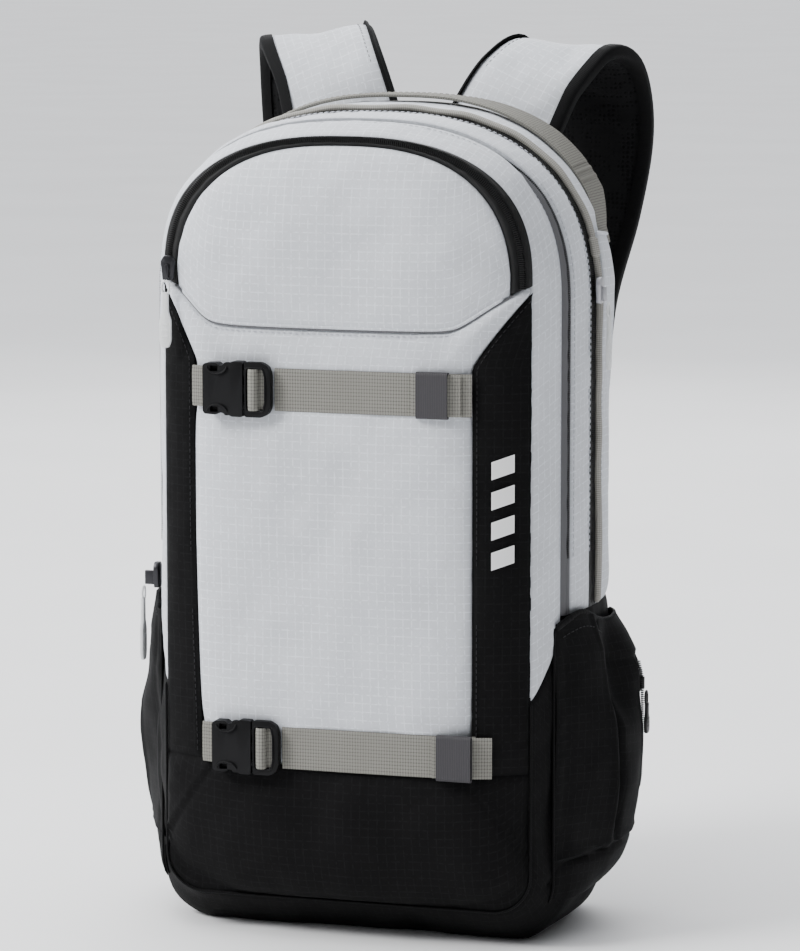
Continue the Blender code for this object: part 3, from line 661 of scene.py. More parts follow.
def centre_panel():
    share = np.linspace(-1.0, 1.0, 97)
    low, marks = levels((PANEL_FOOT_Z, SPLIT_Z, BEND_Z, FREE_Z, 0.340), 0.002)
    top = np.full(share.shape, 0.3725)
    for _ in range(60):
        top = 0.5 * top + 0.5 * seam_z(share * panel_edge(top, share))
    rise = np.linspace(0.0, 1.0, 19)[1:]
    high = 0.340 + (top - 0.340)[None, :] * rise[:, None]
    z = np.vstack([np.repeat(low[:, None], len(share), axis=1), high])
    x = share[None, :] * panel_edge(z, share[None, :])
    grid = on_front(x, z)
    sag = -0.0032 * np.exp(-((z - UPPER_Z) / 0.017) ** 2) - 0.0032 * np.exp(-((z - LOWER_Z) / 0.017) ** 2)
    cut = marks[2]
    parts = (("centre_panel_lower", slice(0, cut + 1), ALL, LOWER_FOLD, ("front_panel_lower",)),
             ("centre_panel_upper", slice(cut, None), ALL, UPPER_FOLD, ("front_panel_upper",)))
    cloth(grid, (GREY, LINING), parts, puff=0.0036, fold=0.0010, seed=0.1, extra=sag, tuck=0.0020,
          away=(0, -1, 0))


def side_strips():
    z, marks = levels((PANEL_FOOT_Z, SPLIT_Z, BEND_Z, FREE_Z, 0.3962), 0.0022)
    cut = marks[2]
    across = np.linspace(0.0, 1.0, 15)
    for side, tag in SIDES:
        inner_x = panel_edge(z, side)
        x = inner_x[:, None] + (FLARE_HALF - inner_x)[:, None] * across[None, :]
        grid = on_front(side * x, z[:, None])
        parts = (("side_strip_%s_lower" % tag, slice(0, cut + 1), ALL, LOWER_FOLD, ("side_strip_lower_" + tag,)),
                 ("side_strip_%s_upper" % tag, slice(cut, None), ALL, UPPER_FOLD, ("side_strip_upper_" + tag,)))
        cloth(grid, (BLACK, LINING), parts, puff=0.0014, fold=0.0010, seed=0.5 + side, slot="black_ripstop",
              away=(0, -1, 0))


def goggle_flap():
    turn = np.linspace(-0.5 * math.pi, 0.5 * math.pi, 121)
    x = (FLAP_HALF - 0.0002) * np.sin(turn) * 0.9995
    ring = (FLAP_HALF, 0.0, 0.0, BAND_FOOT_Z, FLAP_TOP_Z)
    foot = seam_z(x)
    top = np.maximum(arch_height(ring, x), foot + 0.0008)
    rise = np.linspace(0.0, 1.0, 56)
    z = foot[None, :] + (top - foot)[None, :] * rise[:, None]
    grid = on_front(np.repeat(x[None, :], len(rise), axis=0), z, 0.0002)
    inside = np.clip(1.0 - (np.abs(grid[..., 0]) / FLAP_HALF) ** 3, 0, 1)
    dome = 0.0034 * inside * np.sin(np.clip(rise, 0, 1) * math.pi)[:, None] ** 0.6
    parts = (("goggle_flap_cloth", ALL, ALL, "goggle_lid", ("goggle_flap",)),)
    cloth(grid, (GREY, LINING), parts, puff=0.0012, fold=0.0009, seed=0.8, extra=dome, tuck=0.0014,
          away=(0, -1, 0))
    # padded roll of the seam above the centre panel
    along = np.linspace(-0.1, 0.1, 160)
    seam = on_front(along, seam_z(along) + 0.0013, -0.0002)
    tube("goggle_flap_seam_roll", seam, 0.0012, GREY, "goggle_lid", normals=(0, -1, 0))
    # a dark cord laid in the gap under the roll: painted shadow, standing in for the shade that falls in that gap
    along = np.linspace(-0.106, 0.106, 200)
    gap = on_front(along, seam_z(along) - 0.0003, 0.0001)
    tube("goggle_flap_painted_shadow_cord", gap, 0.0005, ZIP_GREY, "tool_lid", 8, 1.0, (0, -1, 0))


def flap_zip():
    inner_ring = (FLAP_HALF + 0.0002, 0.0, 0.0, BAND_FOOT_Z, FLAP_TOP_Z + 0.0002)
    outer_ring = (FLARE_HALF, 0.0, 0.0, BAND_FOOT_Z + 0.0045, 0.4864)
    inner = hoop(inner_ring, BAND_FOOT_Z, 301)
    outer = hoop(outer_ring, BAND_FOOT_Z + 0.0045, 301)
    share = np.linspace(0.0, 1.0, 11)
    flat = outer[None] * (1 - share)[:, None, None] + inner[None] * share[:, None, None]
    grid = on_front(flat[..., 0], flat[..., 1])
    ridge = 0.0010 * np.exp(-((share - 0.2) / 0.12) ** 2) + 0.0008 * np.exp(-((share - 0.85) / 0.10) ** 2)
    parts = (("goggle_zip_tapes", ALL, ALL, "tool_lid", ("goggle_zip_band",)),)
    cloth(grid, (ZIP_BLACK, LINING), parts, seams="ud", thick=0.0016, puff=0.0004, fold=0.0003, seed=1.3,
          slot="black_zip_tape", extra=ridge[:, None] * np.ones((1, 301)), tuck=0.0008, away=(0, -1, 0))
    middle = inner * 0.47 + outer * 0.53
    path = on_front(middle[:, 0], middle[:, 1], 0.0009)
    stitches("goggle_zip_teeth", path, (0.0, -1.0, 0.0), COIL, "tool_lid", 0.00125, 0.0046, 0.00085, 0.0009, True)


def base_front():
    ring = section(FRONT_EDGE_Y)
    share = np.linspace(-1.0, 1.0, 97)
    x = share * (ring[0] - 0.0004)
    foot = foot_height(ring, x)
    rise = np.linspace(0.0, 1.0, 40)
    z = foot[None, :] + (PANEL_FOOT_Z - foot)[None, :] * rise[:, None]
    grid = on_front(np.repeat(x[None, :], 40, axis=0), z)
    dart_at = (np.abs(grid[..., 0]) - 0.0850) * 0.82 - (PANEL_FOOT_Z - 0.006 - z) * 0.57
    dart = 0.0011 * np.exp(-(dart_at / 0.0012) ** 2) - 0.0012 * np.exp(-((dart_at + 0.0026) / 0.0014) ** 2)
    drape = 0.0011 * np.sin(grid[..., 0] * 95.0 + 1.2 * field(grid, 5.0, 0.9)) * np.sin(rise * math.pi)[:, None]
    parts = (("base_front_cloth", ALL, ALL, "pack_body", ("base_front",)),)
    cloth(grid, (BLACK, LINING), parts, puff=0.0020, fold=0.0016, seed=2.1, slot="black_ripstop",
          extra=dart + drape, away=(0, -1, -0.3))


def stitch_rows_front():
    """Top stitching along the front panel's seams, split where the cloth folds."""
    for side, tag in SIDES:
        for low, high, motion, part in ((PANEL_FOOT_Z + 0.004, SPLIT_Z, "pack_body", "lower"),
                                        (FREE_Z, 0.392, "tool_lid", "upper")):
            z = np.linspace(low, high, 60)
            path = on_front(side * (panel_edge(z, side) + 0.0026), z, 0.0004)
            stitches("strip_stitch_%s_%s_0" % (tag, part), path, (0, -1, 0), THREAD_BLACK, motion)
    x = np.linspace(-0.098, 0.098, 130)
    path = on_front(x, seam_z(x) - 0.0028, 0.0009)
    stitches("flap_seam_stitch", path, (0, -1, 0), THREAD_GREY, "tool_lid")


# Shell ------------------------------------------------------------------------------------------


def closing(z):
    """1 over the top of the arch, where the tool zip's cloth edges nearly meet, and 0 down its sides."""
    share = np.clip((z - 0.448) / 0.030, 0.0, 1.0)
    return share * share * (3.0 - 2.0 * share)


def hoop_grid(depths, low_of):
    """Rows at each depth; columns rise from the left foot, over the arch, to the right foot."""
    rows = []
    low_count = 24
    for y in depths:
        ring = section(y)
        climb = np.linspace(low_of(y), BEND_Z, low_count, endpoint=False)
        over = hoop(ring, BEND_Z, 261)
        left = np.stack([np.full(len(climb), -ring[0]), climb], axis=1)
        right = left[::-1] * (-1.0, 1.0)
        flat = np.vstack([left, over, right])
        rows.append(xyz(flat[:, 0], y, flat[:, 1]))
    return np.array(rows), low_count


def gusset_cloth(tag, depths, low_of, looks, replaced, two_folds, slot, seams="udlr", reach=(0.0, 0.0), sink=0.0,
                 **how):
    """A gusset over the arch; with two_folds its two feet are cut off as pieces of their own.

    reach moves its front and rear edges over the tool zip at the top, and sink lowers it there.
    """
    grid, cut = hoop_grid(depths, low_of)
    share = ((grid[..., 1] - depths[0]) / (depths[-1] - depths[0])).clip(0.0, 1.0)
    closed = closing(grid[..., 2])
    shift = closed * (reach[0] * (1.0 - share) ** 4 + reach[1] * share ** 4)
    grid[..., 1] += shift
    how["extra"] = 0.30 * np.abs(shift) - sink * closed
    if two_folds:
        parts = ((tag + "_left_foot", ALL, slice(0, cut + 1), LOWER_FOLD, ()),
                 (tag + "_right_foot", ALL, slice(-cut - 1, None), LOWER_FOLD, ()),
                 (tag, ALL, slice(cut, -cut), UPPER_FOLD, replaced))
    else:
        parts = ((tag, ALL, ALL, LOWER_FOLD, replaced),)
    return cloth(grid, looks, parts, seams=seams, slot=slot, **how)


FRONT_GUSSET_LOW = 0.152
TAPE_HALF = 0.0048      # from the middle of the tool zip to the edge of its tape
MAIN_TAPE = 0.0062      # the same for the main zip
BACK_WALL_AT = 0.0620   # the rearmost section, whose outline the back wall has


def front_gusset_low(y):
    share = min(max((y - FRONT_EDGE_Y) / 0.0303, 0.0), 1.0)
    return FRONT_GUSSET_LOW + (SPLIT_Z - FRONT_GUSSET_LOW) * share ** 1.4


def split_foot(_):
    """The lids' split, as the foot or top of cloth that is cut level there."""
    return SPLIT_Z


def gussets():
    edge_front, edge_rear = TOOL_ZIP_Y - TAPE_HALF, TOOL_ZIP_Y + TAPE_HALF
    tool_tape = dict(thick=0.0012, puff=0.0, tuck=0.0009, fold=0.0002, seed=3.3, sink=0.0022)
    gusset_cloth("front_gusset_cloth", np.linspace(FRONT_EDGE_Y, edge_front, 14), front_gusset_low, (GREY, LINING),
                 ("front_gusset",), True, "grey_ripstop", puff=0.0014, fold=0.0011, seed=3.0, reach=(0.0, 0.0040))
    gusset_cloth("tool_zip_front_tape", np.linspace(edge_front, TOOL_ZIP_Y - 0.0002, 6), split_foot,
                 (ZIP_GREY, LINING), (), True, "grey_zip_tape", seams="u", **tool_tape)
    gusset_cloth("tool_zip_rear_tape", np.linspace(TOOL_ZIP_Y + 0.0002, edge_rear, 6), split_foot,
                 (ZIP_GREY, LINING), ("tool_zip_tape",), False, "grey_zip_tape", seams="d", **tool_tape)
    gusset_cloth("mid_gusset_cloth", np.linspace(edge_rear, -MAIN_TAPE, 16), split_foot, (GREY, LINING),
                 ("mid_gusset",), False, "grey_ripstop", puff=0.0017, fold=0.0012, seed=3.6, reach=(-0.0040, 0.0))
    gusset_cloth("main_zip_front_tape", np.linspace(-MAIN_TAPE, -0.0003, 6), split_foot, (ZIP_BLACK, LINING),
                 ("main_zip_tape_front",), False, "grey_zip_tape", seams="u", thick=0.0012, puff=-0.0034,
                 tuck=0.0006, fold=0.0001, seed=3.9)

    for name, y in (("main_zip_teeth_front", -0.0013), ("tool_zip_teeth", TOOL_ZIP_Y + 0.0013)):
        path, normals = ring_line(y, FREE_Z, 400)
        sunk = 0.0014 if y > -0.01 else 0.0024 * closing(path[:, 2:])
        stitches(name, path - normals * sunk, normals, COIL, "main_lid", 0.0013, 0.0024, 0.0009, 0.0007, True)


def ring_line(y, z_low, count, lift=0.0):
    """A path over the arch at a depth, with outward normals."""
    flat = hoop(section(y), z_low, count)
    path = xyz(flat[:, 0], y, flat[:, 1])
    tangents = unit(np.gradient(path, axis=0))
    normals = unit(np.cross(tangents, (0.0, 1.0, 0.0)))
    normals *= np.sign(np.sum(normals * (path - (0, y, 0.25)), axis=1, keepdims=True))
    return path + normals * lift, normals


def gusset_stitches():
    for tag, y, motion, look in (("front_a", TOOL_ZIP_Y - TAPE_HALF - 0.0022, "tool_lid", THREAD_GREY),
                                 ("mid_a", TOOL_ZIP_Y + TAPE_HALF + 0.0022, "main_lid", THREAD_GREY),
                                 ("mid_b", -MAIN_TAPE - 0.0024, "main_lid", THREAD_GREY),
                                 ("mid_c", -MAIN_TAPE - 0.0052, "main_lid", THREAD_GREY)):
        path, normals = ring_line(y, FREE_Z, 400, 0.0004)
        stitches("gusset_stitch_" + tag, path, normals, look, motion)


def rear_shell():
    rows = [ring_line(y, SPLIT_Z, 281)[0] for y in np.linspace(0.0003, MAIN_TAPE, 5)]
    parts = (("main_zip_rear_tape", ALL, ALL, "pack_body", ("main_zip_tape_rear",)),)
    cloth(np.array(rows), (ZIP_BLACK, LINING), parts, seams="d", thick=0.0012, puff=-0.0034, tuck=0.0006,
          fold=0.0001, slot="grey_zip_tape")
    path, normals = ring_line(0.0013, FREE_Z, 400, -0.0014)
    stitches("main_zip_teeth_rear", path, normals, COIL, "pack_body", 0.0013, 0.0024, 0.0009, 0.0007, True)

    path, normals = ring_line(MAIN_TAPE + 0.0004, SPLIT_Z + 0.001, 420, 0.0006)
    path = path + normals * 0.0005 * field(path, 22.0, 0.6)[:, None]
    tube("main_zip_piping", path, 0.0029, PIPING, "pack_body", 12, 0.8, normals)

    for side, tag in SIDES:
        pick = (path[:, 0] * side > 0) & (path[:, 2] > 0.4100) & (path[:, 2] < 0.4250)
        garage = path[pick] + np.array((side * 0.0006, -0.0014, 0.0))
        tube("zip_garage_" + tag, garage, 0.0042, PIPING, "pack_body", 14, 0.72, normals[pick])
    rows = [ring_line(y, SPLIT_Z, 281)[0] for y in np.linspace(MAIN_TAPE + 0.0005, BACK_Y - 0.0002, 26)]
    grid = np.array(rows)
    # lower under the side wings and the sewn ends of the haul webbing
    under = np.clip((grid[..., 2] - 0.336) / 0.020, 0.0, 1.0) * np.clip((0.437 - grid[..., 2]) / 0.010, 0.0, 1.0)
    under *= np.clip((grid[..., 1] - 0.014) / 0.006, 0.0, 1.0)
    parts = (("rear_gusset_cloth", ALL, ALL, "pack_body", ("rear_gusset",)),)
    cloth(grid, (GREY, LINING), parts, puff=0.0011, fold=0.0005, seed=4.2, extra=-0.0017 * under)
    for tag, y in (("a", MAIN_TAPE + 0.0062), ("b", MAIN_TAPE + 0.0088)):
        path, normals = ring_line(y, SPLIT_Z + 0.006, 400, 0.0006)
        stitches("rear_stitch_" + tag, path, normals, THREAD_GREY, "pack_body")

    # binding where the gusset meets the back panel
    path, normals = ring_line(BACK_Y + 0.0004, SPLIT_Z, 420, 0.0004)
    tube("back_binding_upper", path, 0.0021, PIPING, "pack_body", 12, 0.9, normals)


def side_wings():
    """Upper hems of the rear side panels, which cover the haul webbing's sewn ends."""
    for side, tag in SIDES:
        rows = []
        for y in np.linspace(0.0120, BACK_Y - 0.0006, 22):
            half, _, _, spring, top = section(y)
            z = np.linspace(0.330, 0.4225 - 0.0025 * (y - 0.036) / 0.025, 46)
            over = np.clip((z - spring) / (top - spring), 0.0, 1.0)
            x = half * (1.0 - over ** ARCH_POWER) ** (1.0 / ARCH_POWER)
            rows.append(xyz(side * x, y, z))
        grid = np.array(rows)
        lift = 0.0004 + 0.0026 * np.clip((grid[..., 2] - 0.335) / 0.060, 0, 1) ** 0.8
        parts = (("side_wing_" + tag, ALL, ALL, "pack_body", ()),)
        cloth(grid, (GREY, GREY), parts, seams="udr", thick=0.0014, puff=0.0008, tuck=0.0006, fold=0.0008,
              seed=4.6 + side, extra=lift, away=(side, 0, 0.3))
        hem = grid[:, -1] + np.array((side * 0.0030, 0, 0.0008))
        tube("side_wing_hem_" + tag, hem, 0.0011, GREY, "pack_body", normals=(side, 0, 0))


def base_trough():
    rows = []
    for y in np.linspace(FRONT_EDGE_Y, BACK_Y, 70):
        flat = trough(section(y), front_gusset_low(y), 161)
        rows.append(xyz(flat[:, 0], y, flat[:, 1]))
    grid = np.array(rows)
    along = grid[..., 2]
    drape = 0.0016 * np.sin(grid[..., 1] * 150.0 + field(grid, 7.0, 0.2) * 2.0) * np.clip(along / 0.06, 0, 1)
    drape *= np.clip((0.19 - along) / 0.04, 0, 1)
    seam_line = along - 0.0385 - 0.004 * np.clip((grid[..., 1] + 0.03) / 0.09, 0, 1)
    on_side = np.abs(grid[..., 0]) > 0.095
    groove = -0.0028 * np.exp(-(seam_line / 0.0014) ** 2)
    lip = 0.0014 * np.exp(-((seam_line - 0.004) / 0.002) ** 2)
    drape += on_side * (groove + lip)
    crease = grid[..., 1] + 0.0470 - 0.10 * (along - 0.12)
    drape += -0.0032 * np.exp(-(crease / 0.0040) ** 2) * np.clip((along - 0.05) / 0.03, 0, 1)
    parts = (("base_panel_cloth", ALL, ALL, "pack_body", ("base_panel",)),)
    cloth(grid, (BLACK, LINING), parts, puff=0.0010, fold=0.0014, seed=5.1, slot="black_ripstop",
          extra=drape * 0.5)
    flat = trough(section(FRONT_EDGE_Y), FRONT_GUSSET_LOW - 0.001, 260)
    path = xyz(flat[:, 0], FRONT_EDGE_Y, flat[:, 1])
    tube("base_corner_seam", path, 0.0008, BINDING, "pack_body", 10, 1.0, (0, -1, 0))
    flat = trough(section(BACK_Y), SPLIT_Z, 260)
    path = xyz(flat[:, 0], BACK_Y + 0.0003, np.maximum(flat[:, 1], 0.0021))
    tube("back_binding_lower", path, 0.0019, BINDING, "pack_body", 10, 1.0, (0, 1, 0))


def flat_cloth(name, y, thick, half, low, high, motion, replaced, seed, fold, cols=60, rows=60, z_marks=None):
    """An upright sheet of lining inside the shell."""
    x = np.linspace(-half, half, cols)
    feet = np.array([low(v) for v in x])
    tops = np.array([high(v) for v in x])
    rise = np.linspace(0.0, 1.0, rows)
    z = feet[None] + (tops - feet)[None] * rise[:, None]
    if z_marks is not None:
        marks, _ = levels(z_marks, 0.002)
        upper = marks[-1] + (tops - marks[-1])[None] * rise[1:, None]
        z = np.vstack([np.repeat(marks[:, None], cols, axis=1), upper])
    cloth(xyz(x, y, z), (LINING,), ((name, ALL, ALL, motion, replaced),), thick=thick, puff=0.0003, tuck=0.0002,
          fold=fold, pucker=0.0003, seed=seed, slot="grey_lining", away=(0, -1, 0))


def linings():
    ring = section(-0.0345) - np.array((0.0040, -0.0040, 0.0040, 0.0, 0.0040))
    flat_cloth("divider_lower_cloth", -0.0345, 0.0014, ring[0], lambda x: foot_height(ring, x), split_foot,
               "pack_body", ("divider_lower",), 6.0, 0.0005)
    flat_cloth("divider_cloth", -0.0345, 0.0014, ring[0] - 0.0002, split_foot, lambda x: arch_height(ring, x),
               LOWER_FOLD, ("divider_panel",), 6.1, 0.0005, cols=90, z_marks=(SPLIT_Z, BEND_Z, BEND_Z + 0.004))
    flat_cloth("hydration_sleeve_cloth", 0.0525, 0.0016, 0.085, lambda x: 0.030, lambda x: 0.330, "pack_body",
               ("hydration_sleeve",), 6.4, 0.0009)
    tube("hydration_hem", xyz(np.linspace(-0.084, 0.084, 60), 0.0518, 0.3302), 0.0016, BINDING, "pack_body",
         normals=(0, -1, 0))
    back = section(0.058) - np.array((0.0075, -0.0075, 0.0, 0.0, 0.0075))
    flat_cloth("back_lining_cloth", 0.0550, 0.0008, back[0], lambda x: foot_height(back, x),
               lambda x: arch_height(back, x), "pack_body", (), 6.6, 0.0002)
    liner = section(-0.0500) - np.array((0.0045, -0.004, 0.0, 0.0, 0.0045))
    flat_cloth("goggle_liner_cloth", -0.0500, 0.0014, liner[0] - 0.001, lambda x: 0.366,
               lambda x: arch_height(liner, x), "tool_lid", ("goggle_liner_back",), 6.8, 0.0004, rows=30)
    grid = xyz(np.linspace(-0.086, 0.086, 50), np.linspace(-0.0786, -0.0486, 12)[:, None], 0.3655)
    parts = (("goggle_floor_cloth", ALL, ALL, "tool_lid", ("goggle_liner_floor",)),)
    cloth(grid, (LINING,), parts, thick=0.0014, puff=0.0003, tuck=0.0002, fold=0.0004, slot="grey_lining",
          away=(0, 0, 1))


# Buckles and webbing ----------------------------------------------------------------------------


def settled(obj):
    """The object's mesh with its modifiers applied."""
    graph = bpy.context.evaluated_depsgraph_get()
    graph.update()
    mesh = bpy.data.meshes.new_from_object(obj.evaluated_get(graph))
    obj.modifiers.clear()
    obj.data = mesh
    mesh.name = obj.name
    return obj


def rounded_outline(points, radius, steps=5):
    """A polygon with every corner rounded off."""
    points = np.asarray(points, float)
    made = []
    for a, b, c in zip(np.roll(points, 1, axis=0), points, np.roll(points, -1, axis=0)):
        to_a, to_c = a - b, c - b
        reach = min(radius, 0.45 * np.linalg.norm(to_a), 0.45 * np.linalg.norm(to_c))
        start = b + to_a / np.linalg.norm(to_a) * reach
        end = b + to_c / np.linalg.norm(to_c) * reach
        for t in np.linspace(0.0, 1.0, steps):
            made.append((1 - t) ** 2 * start + 2 * t * (1 - t) * b + t ** 2 * end)
    return np.array(made)


def slab(name, outline, radius, depths, point, look):
    """A closed slab between two depths; point turns (u, depth, w) of the outline into a place."""
    flat = rounded_outline(outline, radius)
    count = len(flat)
    verts = [tuple(point(u, v, w)) for v in depths for u, w in flat]
    faces = [list(range(count)), list(range(2 * count - 1, count - 1, -1))]
    faces += [[i, (i + 1) % count, (i + 1) % count + count, i + count] for i in range(count)]
    return put(name, verts, faces, [look])


def shade(mesh):
    mesh.shade_smooth()
    mesh.set_sharp_from_angle(angle=math.radians(38))


def rounded(obj, width, segments):
    """The object with its sharp edges rounded off."""
    rounding = obj.modifiers.new("round", "BEVEL")
    rounding.width = width
    rounding.segments = segments
    rounding.limit_method = "ANGLE"
    rounding.angle_limit = math.radians(38)
    settled(obj)
    shade(obj.data)
    return obj


def moulding(name, outline, y_back, y_front, bevel, look, dome=0.0, radius=0.0015, holes=()):
    """A moulded part cut to an (x, z) outline, with rounded edges, a slightly domed front and cut holes."""
    obj = slab(name, outline, radius, (y_back, y_front), lambda x, y, z: (x, y, z), look)
    for low, high in holes:
        bpy.ops.mesh.primitive_cube_add(size=1.0)
        cutter = bpy.context.object
        cutter.location = [(a + b) / 2 for a, b in zip(low, high)]
        cutter.scale = [b - a for a, b in zip(low, high)]
        rounding = cutter.modifiers.new("round", "BEVEL")
        rounding.width = 0.0010
        rounding.segments = 2
        hole = obj.modifiers.new("hole", "BOOLEAN")
        hole.object = cutter
        hole.solver = "EXACT"
        bpy.context.view_layer.update()
        settled(obj)
        bpy.data.objects.remove(cutter)
    rounded(obj, bevel, 3)
    if dome:
        heights = rounded_outline(outline, radius)[:, 1]
        middle = 0.5 * (heights.min() + heights.max())
        for v in obj.data.vertices:
            share = (v.co.z - middle) / BUCKLE_HALF
            v.co.y += dome * share * share * (1 if v.co.y < 0.5 * (y_back + y_front) else 0.3)
        shade(obj.data)
    return obj


def join(name, objs):
    """One object out of several."""
    mesh = bmesh.new()
    first = objs[0]
    for obj in objs:
        part = obj.data.copy()
        part.transform(obj.matrix_world)
        mesh.from_mesh(part)
        bpy.data.meshes.remove(part)
    out = bpy.data.meshes.new(name)
    mesh.to_mesh(out)
    mesh.free()
    for look in first.data.materials:
        out.materials.append(look)
    shade(out)
    for obj in objs:
        bpy.data.objects.remove(obj)
    made = bpy.data.objects.new(name, out)
    bpy.context.scene.collection.objects.link(made)
    return made


BUCKLE_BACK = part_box("upper_buckle_socket")[1].y
BUCKLE_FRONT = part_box("upper_buckle_socket")[0].y
BUCKLE_HALF = 0.0165      # half height, over which a moulding's front domes


def buckle(tag, z, holder):
    """A side-release buckle: socket with open flanks, and a clip with two sprung arms and a webbing frame."""
    low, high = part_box(tag + "_buckle_socket")
    x0, x1 = low.x, high.x
    half = 0.5 * (high.z - low.z)

    def mirror(points):
        return [(x, z + h) for x, h in points] + [(x, z - h) for x, h in points[::-1]]

    # socket: bar end on the left, mouth on the right, its flanks cut back where the arms show
    outline = mirror([(x0, 0.0138), (x0 + 0.0012, 0.0152), (x0 + 0.0084, 0.0155), (x0 + 0.0104, 0.0138),
                      (x1 - 0.0090, half - 0.0012), (x1 - 0.0070, half), (x1, half)])
    hollow = ((x0 + 0.0112, -0.0970, z - 0.0116), (x1 + 0.004, -0.0922, z + 0.0116))
    slot = ((x0 + 0.0010, -0.0968, z - 0.0122), (x0 + 0.0030, BUCKLE_BACK + 0.001, z + 0.0122))
    scoops = [((x0 + 0.0046, BUCKLE_FRONT - 0.001, z + w - 0.0017), (x0 + 0.0096, -0.0936, z + w + 0.0017))
              for w in (-0.0122, 0.0122)]
    socket = moulding(tag + "_socket_body", outline, BUCKLE_BACK, BUCKLE_FRONT + 0.0004, 0.0009, NYLON, 0.0018,
                      0.0016, (hollow, slot, *scoops))
    lips = []
    turn = np.linspace(0.0, math.pi, 24)
    for k, w in enumerate((-1, 1)):
        arc = xyz(x0 + 0.0090 + 0.0062 * np.cos(turn), BUCKLE_FRONT + 0.0005,
                  z + w * (0.0138 - 0.0046 * np.sin(turn)))
        arc[:, 1] += 0.0018 * ((arc[:, 2] - z) / BUCKLE_HALF) ** 2
        lips.append(tube("%s_lip_%d" % (tag, k), arc, 0.0006, NYLON, holder, 8, 1.0, (0, -1, 0)))
        lips[-1].parent = None
    piece = join(tag + "_socket_moulding", [socket] + lips)
    move_with(piece, holder, (tag + "_buckle_socket",))

    # clip: arms bow out through the open flanks, a guide runs down the middle, a frame holds the webbing
    low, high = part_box(tag + "_buckle_clip")
    c1 = high.x
    shoulder = c1 - 0.0166
    arm_out = half - 0.0006
    arm = [(shoulder + 0.001, 0.0108), (shoulder - 0.0030, 0.0122), (x1 - 0.0062, 0.0128),
           (x1 - 0.0086, arm_out), (x1 - 0.0120, arm_out), (x0 + 0.0113, 0.0118), (x0 + 0.0120, 0.0100),
           (x1 - 0.0100, 0.0094), (shoulder + 0.001, 0.0078)]
    upper = moulding(tag + "_arm_a", [(x, z + h) for x, h in arm], -0.0928, -0.0964, 0.0006, NYLON, 0, 0.0012)
    lower = moulding(tag + "_arm_b", [(x, z - h) for x, h in arm], -0.0928, -0.0964, 0.0006, NYLON, 0, 0.0012)
    guide = moulding(tag + "_guide", mirror([(x0 + 0.0125, 0.0018), (shoulder + 0.001, 0.0024)]), -0.0932, -0.0960,
                     0.0005, NYLON, 0, 0.0010)
    frame_outline = mirror([(shoulder, half - 0.0006), (shoulder + 0.0012, half), (c1 - 0.0060, half),
                            (c1 - 0.0016, half - 0.0024), (c1, half - 0.0070)])
    gap = 0.0130
    holes = (((shoulder + 0.0014, -0.1000, z - gap), (shoulder + 0.0036, -0.0880, z + gap)),
             ((shoulder + 0.0074, -0.1000, z - gap), (c1 - 0.0042, -0.0880, z + gap)))
    body = moulding(tag + "_clip_frame", frame_outline, -0.0923, -0.0974, 0.0009, NYLON, 0.0010, 0.0016, holes)
    window = rounded_outline([(shoulder + 0.0009, z - gap), (c1 - 0.0046, z - gap), (c1 - 0.0034, z - 0.5 * gap),
                              (c1 - 0.0034, z + 0.5 * gap), (c1 - 0.0046, z + gap), (shoulder + 0.0009, z + gap)],
                             0.0020)
    rim = xyz(window[:, 0], -0.0971, window[:, 1])
    rim = resample(np.vstack([rim, rim[:1]]), 90)
    rim[:, 1] += 0.0010 * ((rim[:, 2] - z) / BUCKLE_HALF) ** 2
    lip = tube(tag + "_window_rim", rim, 0.0006, NYLON, holder, 8, 1.0, (0, -1, 0))
    lip.parent = None
    piece = join(tag + "_clip_moulding", [body, upper, lower, guide, lip])
    move_with(piece, tag + "_clip", (tag + "_buckle_clip",))

    # webbing that loops over the clip's middle bar and moves with it
    bar = shoulder + 0.0055
    loop = [(c1 - 0.0022, -0.0941), (c1 - 0.0040, -0.0941), (bar + 0.0034, -0.0944), (bar + 0.0026, -0.0966),
            (bar + 0.0012, -0.0984), (bar - 0.0012, -0.0984), (bar - 0.0028, -0.0966), (bar - 0.0032, -0.0940),
            (bar - 0.0010, -0.0929), (c1 - 0.0022, -0.0929)]
    path = curve_through([(x, y, z) for x, y in loop], 60)
    band(tag + "_clip_webbing", path, (0, 0, 1), 0.0244, 0.0011, WEB, tag + "_clip")


